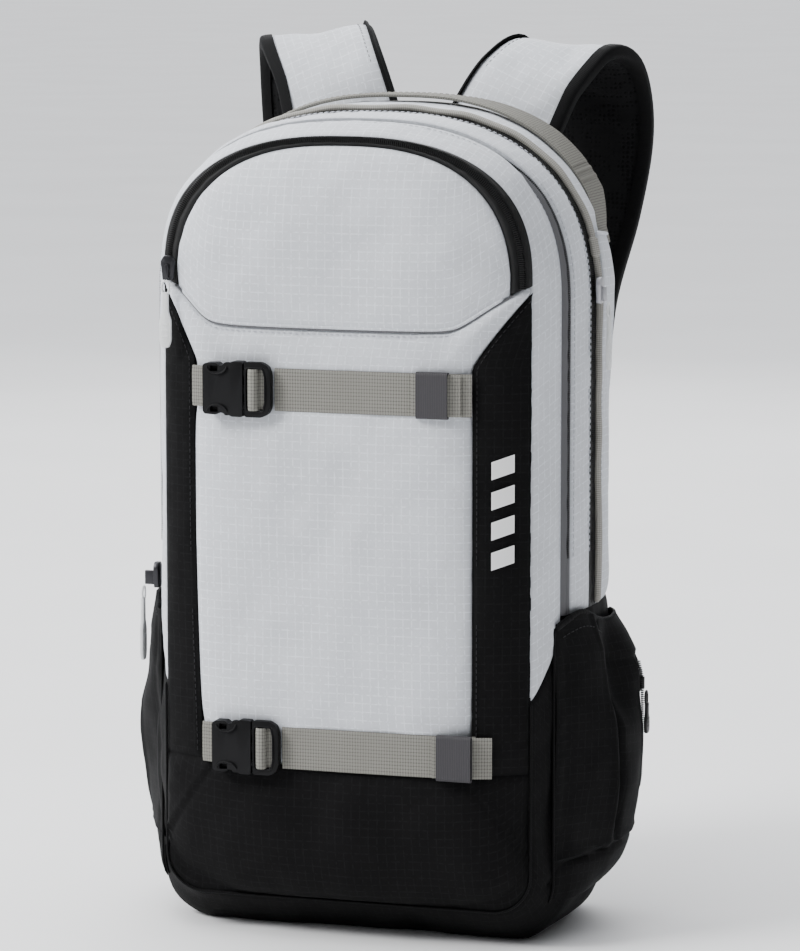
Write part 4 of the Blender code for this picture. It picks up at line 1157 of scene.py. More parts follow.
def front_webbing(tag, z, holder, x_tab, x_socket, x_end, x_keeper, x_tail):
    """Long band across the front, the short tab that holds the socket, and the elastic keeper."""
    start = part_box(tag + "_buckle_clip")[1].x + 0.0006
    x = np.linspace(start, x_end, 150)
    path = on_front(x, z, 0.0022 + 0.0002 * field(xyz(x, 0.0, z), 22.0, 0.4))
    band(tag + "_webbing_band", path, (0, 0, 1), WEB_WIDTH, 0.0016, WEB, holder,
         (tag + "_webbing",))
    # second layer: the free tail, held by the keeper
    x = np.linspace(x_keeper[0] - 0.003, x_tail, 60)
    band(tag + "_tail", on_front(x, z, 0.0043), (0, 0, 1), WEB_WIDTH - 0.0006, 0.0013, WEB, holder)
    x = np.linspace(x_tab, x_socket + 0.0062, 30)
    reach = np.clip((x - x_socket) / 0.005, 0, 1)
    band(tag + "_tab_webbing", on_front(x, z, 0.0022 + 0.0030 * reach), (0, 0, 1), WEB_WIDTH - 0.001, 0.0022, WEB,
         holder, (tag + "_tab",))

    # keeper: a closed loop of elastic round the webbing
    low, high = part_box(tag + "_keeper")
    half = 0.5 * WEB_WIDTH + 0.0009
    face = low.y
    back = high.y - 0.0006
    loop = rounded_outline([(face, z - half), (face, z + half), (back, z + half), (back, z - half)], 0.0018, 6)
    loop = np.vstack([loop, loop[:1]])
    loop = resample(loop, 90)[:-1]
    middle = 0.5 * (low.x + high.x)
    width = high.x - low.x
    outline = xyz(0.0, loop[:, 0], loop[:, 1])
    nxt = np.roll(outline, -1, axis=0) - np.roll(outline, 1, axis=0)
    out = unit(np.cross(unit(nxt), (1.0, 0.0, 0.0)))
    out *= np.sign(np.sum(out * (outline - (0, 0.5 * (face + back), z)), axis=1, keepdims=True))
    profile = [(u, 0.00055) for u in np.linspace(-0.5, 0.5, 15)]
    profile += [(u, -0.00045) for u in np.linspace(0.5, -0.5, 15)]
    rows = [outline + out * h + np.array((middle + u * width, 0, 0)) for u, h in profile]
    verts = np.array(rows).transpose(1, 0, 2)
    count = len(profile)
    turns = len(outline)
    faces = []
    for i in range(turns):
        this, following = i * count, (i + 1) % turns * count
        for j in range(count):
            k = (j + 1) % count
            faces.append([this + j, this + k, following + k, following + j])
    weave = xyz(np.tile([u * width for u, _ in profile], turns), np.repeat(lengths(outline), count), 0.01)
    piece = put(tag + "_keeper_elastic", verts.reshape(-1, 3), faces, [ELASTIC], weave)
    move_with(piece, tag + "_keeper_loop", (tag + "_keeper",))


# Side pockets -----------------------------------------------------------------------------------

POCKET_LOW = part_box("side_pocket_right")[0].z
POCKET_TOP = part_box("side_pocket_right")[1].z


def side_wall_x(y, z):
    """Outward place of the shell's side at a depth and height, drawn in by the rounded lower corner."""
    half, foot, corner, _, _ = section(y)
    below = min(max(foot + corner - z, 0.0), corner)
    return half - (corner - math.sqrt(max(corner * corner - below * below, 0.0)))


def pocket_point(y, share):
    """A pocket's outward place and height; share runs from its foot (0) to its hem (1)."""
    hem = POCKET_TOP + 0.0120 * np.exp(-((y + 0.030) / 0.026) ** 2)
    z = POCKET_LOW + (hem - POCKET_LOW) * share
    across = np.clip((y + 0.044) / 0.100, 0.0, 1.0)
    swell = np.sin(math.pi * across ** 1.5) ** 0.62
    marks = (0.0, 0.08, 0.22, 0.40, 0.60, 0.78, 0.88, 0.95, 1.0)
    rise = np.interp(share, marks, (0.0, 0.34, 0.72, 0.95, 1.0, 0.98, 0.80, 0.42, 0.12))
    valley = 0.80 * np.exp(-(y / 0.014) ** 2) * np.clip((share - 0.60) / 0.25, 0.0, 1.0)
    stretch = 0.0190 + 0.0035 * np.clip(y / 0.030, 0.0, 1.0)
    return side_wall_x(y, z) + 0.0030 + stretch * swell * rise * (1.0 - valley), z


def pocket_line(side, depths, share, lift):
    """A line over a pocket at one share of its height, standing off by lift."""
    points = [(y, *pocket_point(y, share)) for y in depths]
    return np.array([(side * (x + lift), y, z) for y, x, z in points])


def pocket_edge(side, y, shares, lift):
    """A line up a pocket at one depth, standing off by lift."""
    points = [pocket_point(y, share) for share in shares]
    return np.array([(side * (x + lift), y, z) for x, z in points])


def side_pockets():
    for side, tag in SIDES:
        depths = np.linspace(-0.0515, 0.0555, 64)
        grid = np.array([pocket_line(side, depths, share, 0.0) for share in np.linspace(0.0, 1.0, 66)])
        zip_line = np.abs(grid[..., 1] - 0.030)
        zipped = (grid[..., 2] > 0.085) & (grid[..., 2] < 0.165)
        groove = -0.0010 * np.exp(-(zip_line / 0.0022) ** 2) * zipped
        lips = 0.0008 * np.exp(-((zip_line - 0.0048) / 0.0018) ** 2) * zipped
        bend = grid[..., 1] * 60 + grid[..., 2] * 24
        folds = 0.0015 * np.sin(bend + 1.6 * field(grid, 9.0, 0.3)) * np.clip((0.19 - grid[..., 2]) / 0.05, 0, 1)
        pleat = grid[..., 1] + 0.0060 + 0.06 * (grid[..., 2] - 0.12)
        tall = np.clip((grid[..., 2] - 0.050) / 0.02, 0, 1)
        folds += tall * (-0.0034 * np.exp(-(pleat / 0.0022) ** 2)
                         + 0.0016 * np.exp(-((pleat + 0.0050) / 0.0030) ** 2))
        toe = grid[..., 2] - 0.0520 - 0.10 * (grid[..., 1] + 0.01)
        folds += -0.0022 * np.exp(-(toe / 0.0016) ** 2) + 0.0010 * np.exp(-((toe - 0.004) / 0.0022) ** 2)
        folds *= 1.0 - 0.85 * zipped * np.exp(-(zip_line / 0.014) ** 2)
        band_seam = np.linspace(0.0, 1.0, 66)[:, None] - 0.855
        folds += (grid[..., 1] > -0.006) * (-0.0016 * np.exp(-(band_seam / 0.009) ** 2))
        parts = (("side_pocket_%s_cloth" % tag, ALL, ALL, "pack_body", ("side_pocket_" + tag,)),)
        cloth(grid, (BLACK, LINING), parts, seams="ulr", thick=0.0014, puff=0.0010, fold=0.0012, seed=7.0 + side,
              slot="black_ripstop", extra=groove + lips + folds, away=(side, 0, 0))
        # elastic hem
        hem = pocket_line(side, np.linspace(-0.0515, 0.0550, 120), 1.0, -0.0004)
        tube("pocket_hem_" + tag, hem, 0.0024, BINDING, "pack_body", 12, 0.62, (side, 0, 0),
             pinch=0.05)
        line = pocket_line(side, np.linspace(-0.048, 0.052, 110), 0.955, 0.0012)
        stitches("pocket_hem_stitch_" + tag, line, (side, 0, 0), THREAD_BLACK, "pack_body")
        # edge seams sewn to the shell
        for end, y in (("front", -0.0518), ("rear", 0.0560)):
            seam = pocket_edge(side, y, np.linspace(0.0, 1.0, 60), -0.0014)
            tube("pocket_seam_%s_%s" % (end, tag), seam, 0.0008, BINDING, "pack_body", 10, 1.0, (side, 0, 0))
    # teeth of the small pocket's zip, on the wearer's right only
    teeth = pocket_edge(1, 0.030, np.linspace(0.36, 0.84, 90), 0.0006)
    stitches("pocket_zip_teeth", teeth, (1, 0, 0), COIL, "pack_body", 0.0013, 0.0036, 0.0009, 0.0008, True)


# Padding ----------------------------------------------------------------------------------------


def inflate(obj, pinned, push, cap, frames=20):
    """Blows the padding up under its cloth with a short simulation.

    Vertices pinned with 1 stay, and cap limits how far the others move.
    """
    count = len(obj.data.vertices)
    rest = np.zeros(count * 3)
    obj.data.vertices.foreach_get("co", rest)
    rest = rest.reshape(-1, 3)
    group = obj.vertex_groups.new(name="pinned")
    for index in np.nonzero(pinned > 0)[0]:
        group.add([int(index)], float(pinned[index]), "REPLACE")
    sim = obj.modifiers.new("stuffing", "CLOTH")
    sim.settings.quality = 6
    sim.settings.mass = 0.25
    sim.settings.tension_stiffness = 20.0
    sim.settings.compression_stiffness = 12.0
    sim.settings.shear_stiffness = 8.0
    sim.settings.bending_stiffness = 0.35
    sim.settings.use_pressure = True
    sim.settings.uniform_pressure_force = push
    sim.settings.shrink_min = -0.012
    sim.settings.vertex_group_mass = "pinned"
    sim.settings.effector_weights.gravity = 0.0
    sim.collision_settings.use_collision = False
    scene = bpy.context.scene
    for frame_number in range(1, frames + 1):
        scene.frame_set(frame_number)
    graph = bpy.context.evaluated_depsgraph_get()
    shaped = obj.evaluated_get(graph)
    moved = np.zeros(count * 3)
    shaped.data.vertices.foreach_get("co", moved)
    moved = moved.reshape(-1, 3)
    step = moved - rest
    step[~np.isfinite(step).all(axis=1)] = 0.0
    far = np.linalg.norm(step, axis=1, keepdims=True)
    step *= np.minimum(1.0, cap / np.maximum(far, 1e-9))
    obj.modifiers.clear()
    obj.vertex_groups.clear()
    obj.data.vertices.foreach_set("co", (rest + step).reshape(-1))
    scene.frame_set(1)
    smooth = obj.modifiers.new("smooth", "SUBSURF")
    smooth.levels = 1
    smooth.render_levels = 1
    settled(obj)
    obj.data.shade_smooth()
    return obj


def pad_block(name, box, chamfer, channels, replaced):
    """A foam pad on the back panel: a flat rear, a crowned front and sewn channels across it."""
    low, high = box
    rows = int((high.z - low.z) / 0.0055)
    cols = int((high.x - low.x) / 0.0055)
    z = np.linspace(low.z, high.z, rows + 1)
    u = np.linspace(-1.0, 1.0, cols + 1)
    middle = 0.5 * (low.x + high.x)
    half = 0.5 * (high.x - low.x)
    depth = high.y - low.y
    outer = np.zeros((rows + 1, cols + 1, 3))
    edge = np.zeros((rows + 1, cols + 1))
    for i, level in enumerate(z):
        end = min(level - low.z, high.z - level)
        inset = chamfer - math.sqrt(max(chamfer ** 2 - max(chamfer - end, 0.0) ** 2, 0.0))
        width = half - inset * 0.9
        for j, share in enumerate(u):
            side = (1.0 - abs(share)) * width
            near = min(side, end)
            edge[i, j] = near
            height = 0.0035 + (depth - 0.0062) * (1.0 - math.exp(-near / 0.0085))
            for channel in channels:
                height -= 0.55 * height * math.exp(-((level - channel) / 0.0045) ** 2) * min(side / 0.010, 1.0)
            outer[i, j] = (middle + share * width, low.y + height, level)
    inner = outer.copy()
    inner[..., 1] = low.y
    weave = np.stack([outer[..., 0], outer[..., 2], edge], axis=-1)
    obj = two_sided(name, outer, inner, (MESH,), weave)
    count = (rows + 1) * (cols + 1)
    pin = np.zeros(2 * count)
    pin[count:] = 1.0
    pin[:count][edge.reshape(-1) < 0.004] = 1.0
    for channel in channels:
        close = np.abs(outer[..., 2].reshape(-1) - channel) < 0.0042
        pin[:count][close] = 1.0
    inflate(obj, pin, 4.0, 0.006)
    move_with(obj, "pack_body", (replaced,))


def back_pads():
    for _, tag in SIDES:
        low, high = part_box("back_pad_" + tag)
        channels = [low.z + (high.z - low.z) * share for share in (0.34, 0.67)]
        pad_block("back_pad_%s_foam" % tag, (low, high), 0.020, channels, "back_pad_" + tag)
    low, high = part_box("lumbar_pad")
    pad_block("lumbar_pad_foam", (low, high), 0.022, (0.5 * (low.z + high.z) + 0.012,), "lumbar_pad")
    # back wall cloth
    back = section(BACK_WALL_AT)
    x = np.linspace(-back[0] + 0.0006, back[0] - 0.0006, 91)
    rise = np.linspace(0.0, 1.0, 150)
    foot = foot_height(back, x) + 0.0004
    top = arch_height(back, x) - 0.0004
    z = foot[None] + (top - foot)[None] * rise[:, None]
    grid = xyz(x, WALL_Y - 0.0004, z)
    parts = (("back_wall_cloth", ALL, ALL, "pack_body", ("back_wall",)),)
    cloth(grid, (BLACK, LINING), parts, thick=0.0028, puff=0.0004, tuck=0.0008, fold=0.0005, seed=8.2,
          slot="black_ripstop", away=(0, 1, 0))


def yoke_and_wings():
    low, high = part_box("strap_yoke")
    x = np.linspace(low.x, high.x, 60)
    rise = np.linspace(0.0, 1.0, 14)
    z = low.z + (high.z - low.z) * rise
    grid = xyz(x, high.y - 0.0008, z[:, None])
    parts = (("strap_yoke_cloth", ALL, ALL, "pack_body", ("strap_yoke",)),)
    cloth(grid, (BLACK, BLACK), parts, thick=high.y - low.y - 0.0010, puff=0.0008, tuck=0.0012, fold=0.0004,
          slot="black_ripstop", away=(0, 1, 0), seed=8.8)
    for k, level in enumerate((low.z + 0.0035, high.z - 0.0035)):
        stitches("yoke_stitch_%d" % k, xyz(x, high.y - 0.0004, level), (0, 1, 0), THREAD_BLACK, "pack_body")
    for side, tag in SIDES:
        low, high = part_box("anchor_wing_" + tag)
        u = np.linspace(0.0, 1.0, 26)
        v = np.linspace(0.0, 1.0, 26)
        inner_x = low.x if side > 0 else high.x
        outer_x = high.x if side > 0 else low.x
        rows = []
        for b in v:
            z = low.z + (high.z - low.z) * b
            reach = 1.0 - 0.55 * abs(b - 0.42) ** 1.2
            rows.append([(inner_x + (outer_x - inner_x) * a * reach, high.y - 0.0008 - 0.0010 * a, z) for a in u])
        parts = (("anchor_wing_%s_cloth" % tag, ALL, ALL, "pack_body", ("anchor_wing_" + tag,)),)
        cloth(np.array(rows), (BLACK, BLACK), parts, thick=0.0030, puff=0.0006, tuck=0.0010, fold=0.0004,
              slot="black_ripstop", away=(0, 1, 0), seed=9.0 + side)


# Shoulder straps --------------------------------------------------------------------------------

PAD_ROUTE = (
    (0.0465, 0.0735, 0.4480), (0.0474, 0.0785, 0.4600), (0.0505, 0.083, 0.478), (0.066, 0.098, 0.513),
    (0.082, 0.122, 0.529),
    (0.0925, 0.146, 0.517), (0.0955, 0.158, 0.480), (0.0885, 0.155, 0.430), (0.078, 0.134, 0.370),
    (0.078, 0.117, 0.300), (0.082, 0.107, 0.230), (0.090, 0.101, 0.180),
)
PAD_HALF = 0.0335
PAD_THICK = 0.0120


def pad_axes(side, count):
    """A shoulder pad's middle line, with its across and outward directions."""
    raised = 0.0055 if side < 0 else 0.0
    route = [(side * x, y, z + raised * min(max((z - 0.459) / 0.05, 0.0), 1.0)) for x, y, z in PAD_ROUTE]
    path = curve_through(route, count)
    tangents = unit(np.gradient(path, axis=0))
    crest = np.clip((path[:, 2] - 0.490) / 0.030, 0.0, 1.0)
    across = np.stack([np.ones(count), np.zeros(count), -side * (0.06 if side > 0 else 0.13) * crest], axis=1)
    across = unit(across - tangents * np.sum(across * tangents, axis=1, keepdims=True))
    out = unit(np.cross(tangents, across))
    out *= np.sign(out[count // 2, 1])
    return path, tangents, across, out


def on_strap(piece):
    """Cloth sewn to the yoke at its top and to its strap below, here only baked in place and attached to neither.
    """
    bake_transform(piece)


def shoulder_pad(side, tag):
    """The padded strap: light cloth outside, mesh inside, and black binding round its edges."""
    count = 118
    path, tangents, across, out = pad_axes(side, count)
    along = lengths(path)
    share = along / along[-1]
    half = PAD_HALF * np.interp(share, (0.0, 0.06, 0.16, 0.7, 0.93, 1.0), (1.0, 1.09, 1.0, 1.0, 0.86, 0.62))
    turn = np.linspace(-1.0, 1.0, 15)
    ends = np.clip(np.minimum(along, along[-1] - along) / 0.012, 0.0, 1.0) ** 0.5
    crown = 0.42 * PAD_THICK * (0.35 + 0.65 * ends)
    edge_drop = 1.0 - 0.62 * np.abs(turn) ** 5
    flat = path[:, None] + across[:, None] * turn[None, :, None] * half[:, None, None]
    swell = out[:, None] * (crown[:, None] * edge_drop[None])[..., None]
    # the face that shows light cloth is the one turned away from the wearer
    edge = (1.0 - np.abs(turn))[None, :] * half[:, None]
    weave = xyz(turn[None, :] * half[:, None], along[:, None], edge)
    obj = two_sided("shoulder_pad_%s_foam" % tag, flat + swell, flat - swell, (GREY, MESH), weave)
    rim = (edge < 0.006) | (np.minimum(along, along[-1] - along)[:, None] < 0.010)
    inflate(obj, np.tile(rim.reshape(-1), 2).astype(float), 4.0, 0.0035)
    on_strap(obj)
    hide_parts("shoulder_pad_" + tag)

    # black binding wrapped round both long edges and the foot
    angles = np.linspace(0.0, math.pi, 24)[1:-1, None]
    toe = path[-1] + (across[-1] * np.cos(angles) + tangents[-1] * np.sin(angles) * 0.35) * half[-1]
    toe_across = unit(across[-1] * np.cos(angles) + tangents[-1] * np.sin(angles))
    rise = across * half[:, None]
    loop = np.vstack([path + rise, toe, (path - rise)[::-1]])
    loop_across = np.vstack([across, toe_across, -across[::-1]])
    loop_out = np.vstack([out, np.tile(out[-1], (len(toe), 1)), out[::-1]])
    profile = []
    reach = 0.0078
    height = 0.42 * PAD_THICK
    for t in np.linspace(-1.0, 1.0, 15):
        angle = t * 0.5 * math.pi
        inward = reach * (1.0 - math.cos(angle)) ** 1.3
        lift = height * 1.06 * math.copysign(abs(math.sin(angle)) ** 0.62, t)
        profile.append((0.0016 - inward, lift))
    profile = np.array(profile)
    fall = 0.5 + 0.5 * np.clip(np.minimum(np.arange(len(loop)), len(loop) - 1 - np.arange(len(loop))) / 6.0, 0, 1)
    narrow = np.ones((len(loop), 15))
    spine_side = loop_across[:, 0] * side < -0.3
    narrow[np.ix_(spine_side, profile[:, 1] > 0)] = 0.26
    outer = (loop[:, None] + loop_across[:, None] * (profile[None, :, :1] * narrow[..., None])
             + loop_out[:, None] * profile[None, :, 1:] * fall[:, None, None])
    inner = outer - loop_across[:, None] * 0.0012 * (profile[None, :, :1] > -0.0060) - loop_out[:, None] * (
        np.sign(profile[None, :, 1:]) * 0.0010)
    weave = xyz(lengths(loop)[:, None], profile[None, :, 1], 0.01)
    on_strap(two_sided("shoulder_binding_" + tag, outer, inner, (BINDING,), weave))
    for letter, way in (("a", 1.0), ("b", -1.0)):
        line = path + way * across * (half - 0.0062)[:, None] + out * (crown * 0.80)[:, None]
        stitches("shoulder_stitch_%s_%s" % (letter, tag), line[16:-8], out[16:-8], THREAD_BLACK, tag + "_strap")
    strap_foot(side, tag)


def strap_foot(side, tag):
    """Ladder lock at the foot of a strap, with its sewn tab and the webbing that runs down to the wing."""
    low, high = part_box("ladder_lock_" + tag)
    middle = 0.5 * (low.x + high.x)
    outline = [(low.x + 0.001, low.z + 0.002), (high.x - 0.001, low.z + 0.002), (high.x, high.z - 0.009),
               (high.x - 0.004, high.z), (low.x + 0.004, high.z), (low.x, high.z - 0.009)]
    gaps = ((low.z + 0.0058, low.z + 0.0100), (low.z + 0.0146, low.z + 0.0188), (high.z - 0.0075, high.z - 0.0035))
    holes = [((middle - 0.0138, low.y - 0.002, z0), (middle + 0.0138, high.y + 0.002, z1)) for z0, z1 in gaps]
    lock = moulding("ladder_lock_%s_moulding" % tag, outline, high.y, low.y, 0.0011, NYLON, 0.0, 0.0022, holes)
    move_with(lock, tag + "_strap", ("ladder_lock_" + tag,))
    route = [(0.0900, 0.1010, 0.186), (0.0903, 0.1012, 0.1745), (0.0905, 0.0990, 0.1680), (0.0907, 0.0932, 0.1640)]
    tab = curve_through([(side * x, y, z) for x, y, z in route], 24)
    band("ladder_tab_" + tag, tab, (1, 0, 0), 0.0250, 0.0016, WEB, tag + "_strap")
    route = ((0.0912, 0.1022, 0.1440), (0.0914, 0.1024, 0.1500), (0.0918, 0.0996, 0.1558), (0.0924, 0.0938, 0.1560),
             (0.0935, 0.0900, 0.1500), (0.0960, 0.0884, 0.1350), (0.0995, 0.0860, 0.1180), (0.1060, 0.0800, 0.0920),
             (0.1120, 0.0735, 0.0660))
    web = curve_through([(side * x, y, z) for x, y, z in route], 110)
    band("strap_web_%s_band" % tag, web, (1, 0, 0), WEB_WIDTH, 0.0016, WEB, tag + "_strap",
         ("strap_webbing_" + tag,))


def sternum(side, tag, kind):
    """One end of the chest strap: an elastic runner on the pad, webbing and half a small buckle."""
    holder = "sternum_" + tag
    a = Vector((0.0795, 0.1375, 0.380))
    b = Vector((0.0838, 0.1495, 0.414))
    way = (b - a).normalized()
    way = Vector((side * way.x, way.y, way.z))
    across = Vector((1.0, 0.0, 0.0))
    across = (across - way * across.dot(way)).normalized()
    out = across.cross(way).normalized()
    if out.y < 0:
        out = -out
    middle = 0.5 * (a + b)
    middle = Vector((side * middle.x, middle.y, middle.z)) + out * (0.5 * 0.012 + 0.0030)
    reach = -side
    across_np, out_np, way_np, middle_np = (np.array(v) for v in (across, out, way, middle))
    s = np.linspace(-0.0285, 0.0420, 70)
    sag = -0.0009 * np.clip(1 - np.abs(s) / 0.03, 0, 1)
    path = middle_np + across_np * (s * reach)[:, None] + out_np * (0.0010 + sag)[:, None]
    band("sternum_band_" + tag, path, way_np, 0.0196, 0.0015, WEB, holder,
         ("sternum_web_" + tag,))
    # crosswise runner tape under it
    s = np.linspace(-0.013, 0.013, 30)
    path = middle_np - across_np * 0.012 * reach + way_np * s[:, None] - out_np * 0.0012
    band("sternum_runner_" + tag, path, across_np, 0.0085, 0.0013, ELASTIC, holder)

    def point(u, v, w):
        return middle_np + across_np * (u * reach) + out_np * v + way_np * w

    half = 0.0122
    if kind == "socket":
        outline = [(0.0370, -half * 0.82), (0.0400, -half), (0.0440, -half * 0.78), (0.0520, -half * 0.78),
                   (0.0560, -half), (0.0596, -half * 0.92)]
    else:
        outline = [(0.0368, -half * 0.9), (0.0392, -half), (0.0440, -half), (0.0446, -half * 0.62),
                   (0.0550, -half * 0.72), (0.0572, -half * 0.5), (0.0592, -half * 0.42)]
    outline = outline + [(u, -w) for u, w in outline[::-1]]
    obj = slab("sternum_%s_%s" % (kind, tag), outline, 0.0014, (-0.0028, 0.0048), point, NYLON)
    rounded(obj, 0.0011, 3)
    move_with(obj, holder, ("sternum_buckle_" + kind,))


# Haul handle ------------------------------------------------------------------------------------


def handle_lean(path):
    """How far the haul webbing tips towards the front, and how far it stands off, at each point."""
    shoulder = np.clip((np.abs(path[:, 0]) - 0.030) / 0.060, 0.0, 1.0)
    free = np.clip((path[:, 2] - 0.4255) / 0.0200, 0.0, 1.0)
    return 0.15 * shoulder * free, 0.0010 + (0.0038 + 0.0010 * shoulder) * free


def haul_handle():
    y_middle = 0.5 * (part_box("haul_handle")[0].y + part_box("haul_handle")[1].y)
    low_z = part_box("haul_handle")[0].z
    path, normals = ring_line(y_middle, low_z + 0.0004, 180)
    lean, lift = handle_lean(path)
    band("haul_handle_band", path + normals * lift[:, None], (0.0, 1.0, 0.0) + normals * lean[:, None], WEB_WIDTH,
         0.0022, WEB, "handle", ("haul_handle",))
    for k, off in enumerate((-0.0088, 0.0088)):
        line = path + normals * (lift + 0.0012 + off * lean)[:, None] + np.array((0, off, 0))
        stitches("handle_stitch_%d" % k, line[6:-6], normals[6:-6], THREAD_WARM, "handle")
    # its sewn tails on the shell, with bar tacks
    for side, tag in SIDES:
        tail, tail_normals = ring_line(y_middle, low_z - 0.044, 260)
        pick = (tail[:, 0] * side > 0) & (tail[:, 2] < low_z + 0.002)
        part = tail[pick]
        part_normals = tail_normals[pick]
        lean, lift = handle_lean(part)
        band("handle_tail_" + tag, part + part_normals * (lift - 0.0002)[:, None],
             (0.0, 1.0, 0.0) + part_normals * lean[:, None], WEB_WIDTH, 0.0018, WEB, "pack_body")
        top = int(np.argmax(part[:, 2]))
        for k, drop in enumerate((0.004, 0.008)):
            at = int(np.argmin(np.abs(part[:, 2] - (part[top, 2] - drop))))
            over = np.linspace(-0.011, 0.011, 40)
            row = xyz(part[at, 0], y_middle + over, part[at, 2])
            normal = part_normals[at]
            slope = (lift[at] + 0.0009 + over * lean[at])[:, None]
            stitches("bar_tack_%s_%d" % (tag, k), row + normal * slope, normal, THREAD_WARM, "pack_body", 0.0009,
                     0.0030, 0.0007, 0.0005, True)


# Zip sliders and pulls --------------------------------------------------------------------------


def zip_set(tag, look, outward):
    """A slider with its bail, and a moulded pull that hangs from it."""
    low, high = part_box(tag + "_zip_slider")
    size = high - low
    middle = 0.5 * (low + high)
    if outward == "front":
        wide, deep = size.x, size.y
        side, out = Vector((1, 0, 0)), Vector((0, -1, 0))
        face = Vector((middle.x, high.y, middle.z))
    else:
        sign = 1 if middle.x > 0 else -1
        wide, deep = size.y, size.x
        side, out = Vector((0, 1, 0)), Vector((sign, 0, 0))
        face = Vector((low.x if sign > 0 else high.x, middle.y, middle.z))

    def point(u, v, w):
        return face + side * u + out * v + Vector((0, 0, w))

    def prism(name, outline, v_low, v_high, look, bevel=0.0006, radius=0.0012):
        return rounded(slab(name, outline, radius, (v_low, v_high), point, look), bevel, 2)

    half = 0.5 * wide
    top = 0.5 * size.z
    shape = [(-half, top * 0.55), (-half * 0.55, top), (half * 0.55, top), (half, top * 0.55), (half * 0.74, -top),
             (-half * 0.74, -top)]
    body_deep = min(deep * 0.55, 0.0034)
    metal = SATIN if tag == "main" else COIL if tag == "pocket" else METAL
    body = prism(tag + "_slider_plate", shape, 0.0002, body_deep, metal)
    bridge = prism(tag + "_bridge", [(-0.0013, top * 0.30), (0.0013, top * 0.30), (0.0013, -top * 0.80),
                                     (-0.0013, -top * 0.80)], body_deep - 0.0004, deep, metal, 0.0005, 0.0008)
    piece = join(tag + "_slider_body", [body, bridge])
    move_with(piece, tag + "_slider", (tag + "_zip_slider",))

    pull_low, pull_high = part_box(tag + "_zip_pull")
    length = pull_high.z - pull_low.z
    z0 = pull_high.z - middle.z
    v0 = deep + 0.0016
    width = 0.42 * wide
    loop = [point(math.sin(angle) * width * 0.62, v0 - 0.0004, z0 - 0.0036 + math.cos(angle) * 0.0042)
            for angle in np.linspace(0.0, 2 * math.pi, 40)]
    tube(tag + "_pull_ring", [tuple(v) for v in loop], 0.00075, look, tag + "_pull", 8, 1.0, tuple(out))
    w1 = z0 - 0.0062
    w2 = z0 - length + 0.0004
    neck = width * 0.52
    tab = [(-neck, w1), (neck, w1), (neck * 1.05, w1 - length * 0.30), (width, w1 - length * 0.42),
           (width, w2 + length * 0.10), (width * 0.6, w2), (-width * 0.6, w2), (-width, w2 + length * 0.10),
           (-width, w1 - length * 0.42), (-neck * 1.05, w1 - length * 0.30)]
    grips = [prism(tag + "_tab", tab, v0 - 0.0011, v0 + 0.0011, look, 0.0007, 0.0016)]
    for k in range(3):
        w = w2 + length * (0.16 + 0.09 * k)
        bar = [(-width * 0.62, w), (width * 0.62, w), (width * 0.62, w + 0.0012), (-width * 0.62, w + 0.0012)]
        grips.append(prism("%s_grip_%d" % (tag, k), bar, v0 - 0.0014, v0 + 0.0014, look, 0.0003, 0.0005))
    piece = join(tag + "_pull_tab", grips)
    move_with(piece, tag + "_pull", (tag + "_zip_pull",))


def generic_mark():
    """Four plain slanted bars printed on the right-hand black strip."""
    across = np.linspace(0.0, 1.0, 16)
    share = np.linspace(0.0, 1.0, 8)[:, None]
    for k in range(4):
        grid = on_front(0.0945 + 0.0125 * across, 0.232 + 0.018 * k + 0.0105 * share + 0.0045 * across, 0.0019)
        parts = (("printed_bar_%d" % k, ALL, ALL, "tool_lid", ()),)
        cloth(grid, (MARK,), parts, thick=0.0007, puff=0.0, tuck=0.0, fold=0.0, pucker=0.0, slot="black_ripstop",
              away=(0, -1, 0), seams="")


# Camera, light and floor ------------------------------------------------------------------------


def aim(obj, place, target):
    obj.location = place
    obj.rotation_euler = (Vector(target) - Vector(place)).to_track_quat("-Z", "Y").to_euler()
    bpy.context.scene.collection.objects.link(obj)


def camera():
    azimuth, elevation, far = math.radians(17.5), math.radians(8.0), 2.6
    target = Vector((0.0122, 0.0, 0.2744))
    back = Vector((math.sin(azimuth) * math.cos(elevation), -math.cos(azimuth) * math.cos(elevation),
                   math.sin(elevation)))
    data = bpy.data.cameras.new("camera")
    data.lens = 160.6
    data.sensor_width = 36.0
    made = bpy.data.objects.new("camera", data)
    aim(made, target + back * far, target)
    bpy.context.scene.camera = made


def lamp(name, place, size, power, colour=(1.0, 1.0, 1.0)):
    data = bpy.data.lights.new(name, "AREA")
    data.shape = "RECTANGLE"
    data.size = size[0]
    data.size_y = size[1]
    data.energy = power
    data.color = colour
    aim(bpy.data.objects.new(name, data), place, (0.0, 0.0, 0.26))


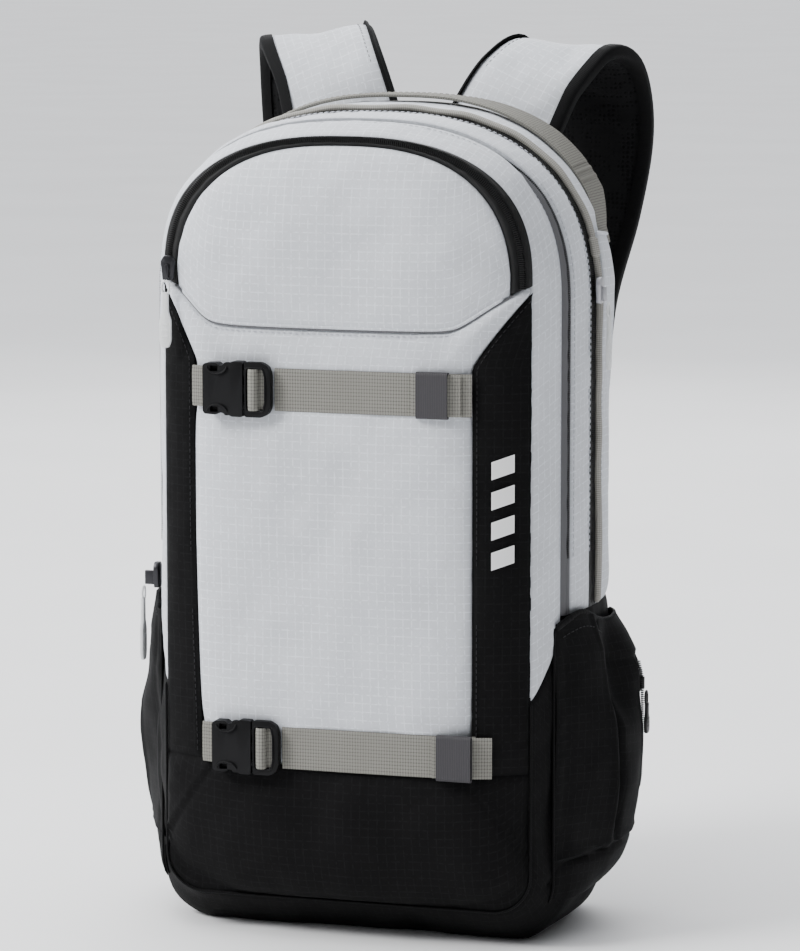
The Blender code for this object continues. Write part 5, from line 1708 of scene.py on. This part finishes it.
def studio():
    lamp("key_light", (-1.9, -1.5, 2.2), (1.0, 1.0), 92.0)
    lamp("fill_light", (2.4, -0.9, 1.0), (1.2, 1.6), 1.0, (0.96, 0.98, 1.0))
    lamp("top_light", (-0.4, 0.0, 2.2), (1.5, 1.2), 20.0)
    lamp("rear_light", (-0.6, 2.4, 1.5), (1.4, 1.4), 22.0)
    world = bpy.data.worlds.new("studio")
    world.use_nodes = True
    tree = world.node_tree
    tree.nodes["Background"].inputs[0].default_value = (0.95, 0.965, 1.0, 1.0)
    way = tree.nodes.new("ShaderNodeVectorMath")
    way.operation = "DOT_PRODUCT"
    way.inputs[1].default_value = (-0.45, 0.35, 0.82)
    tree.links.new(tree.nodes.new("ShaderNodeTexCoord").outputs["Generated"], way.inputs[0])
    level = tree.nodes.new("ShaderNodeMapRange")
    level.interpolation_type = "SMOOTHSTEP"
    level.inputs["From Min"].default_value = -0.05
    level.inputs["From Max"].default_value = 0.95
    level.inputs["To Min"].default_value = 0.06
    level.inputs["To Max"].default_value = 1.95
    tree.links.new(way.outputs["Value"], level.inputs["Value"])
    tree.links.new(level.outputs[0], tree.nodes["Background"].inputs[1])
    bpy.context.scene.world = world

    s = Shader("paper_floor", 0.9)
    tint = s.mix(s.ramp(s.noise(3.0, 2.0, s.place()), 0.3, 0.7), (0.90, 0.90, 0.90, 1.0), (0.93, 0.93, 0.93, 1.0))
    s.finish(tint)
    turn = np.linspace(0.0, 2.0 * math.pi, 97)[:-1]
    verts = [(30.0 * math.cos(t), 30.0 * math.sin(t), -0.0006) for t in turn]
    mesh = bpy.data.meshes.new("floor")
    mesh.from_pydata(verts, [], [tuple(range(len(verts)))])
    mesh.materials.append(s.material)
    floor = bpy.data.objects.new("floor", mesh)
    bpy.context.scene.collection.objects.link(floor)


camera()
studio()
centre_panel()
side_strips()
goggle_flap()
flap_zip()
base_front()
stitch_rows_front()
gussets()
gusset_stitches()
rear_shell()
side_wings()
base_trough()
linings()
for strap, height, body_name, tab, socket, end, keeper, tail in (
        ("upper", UPPER_Z, "tool_lid", -0.0915, -0.0804, 0.0834, (0.0512, 0.0705), 0.0776),
        ("lower", LOWER_Z, "pack_body", -0.0858, -0.0758, 0.0860, (0.0640, 0.0852), 0.0958)):
    buckle(strap, height, body_name)
    front_webbing(strap, height, body_name, tab, socket, end, keeper, tail)
side_pockets()
back_pads()
yoke_and_wings()
for way, hand, half_buckle in ((-1, "left", "socket"), (1, "right", "clip")):
    shoulder_pad(way, hand)
    sternum(way, hand, half_buckle)
haul_handle()
zip_set("main", PULL, "side")
zip_set("tool", PULL, "side")
zip_set("goggle", PULL, "front")
zip_set("pocket", COIL, "side")
generic_mark()

sheet_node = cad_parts["framesheet"]
sheet_node.data.materials.clear()
sheet_node.data.materials.append(SHEET)
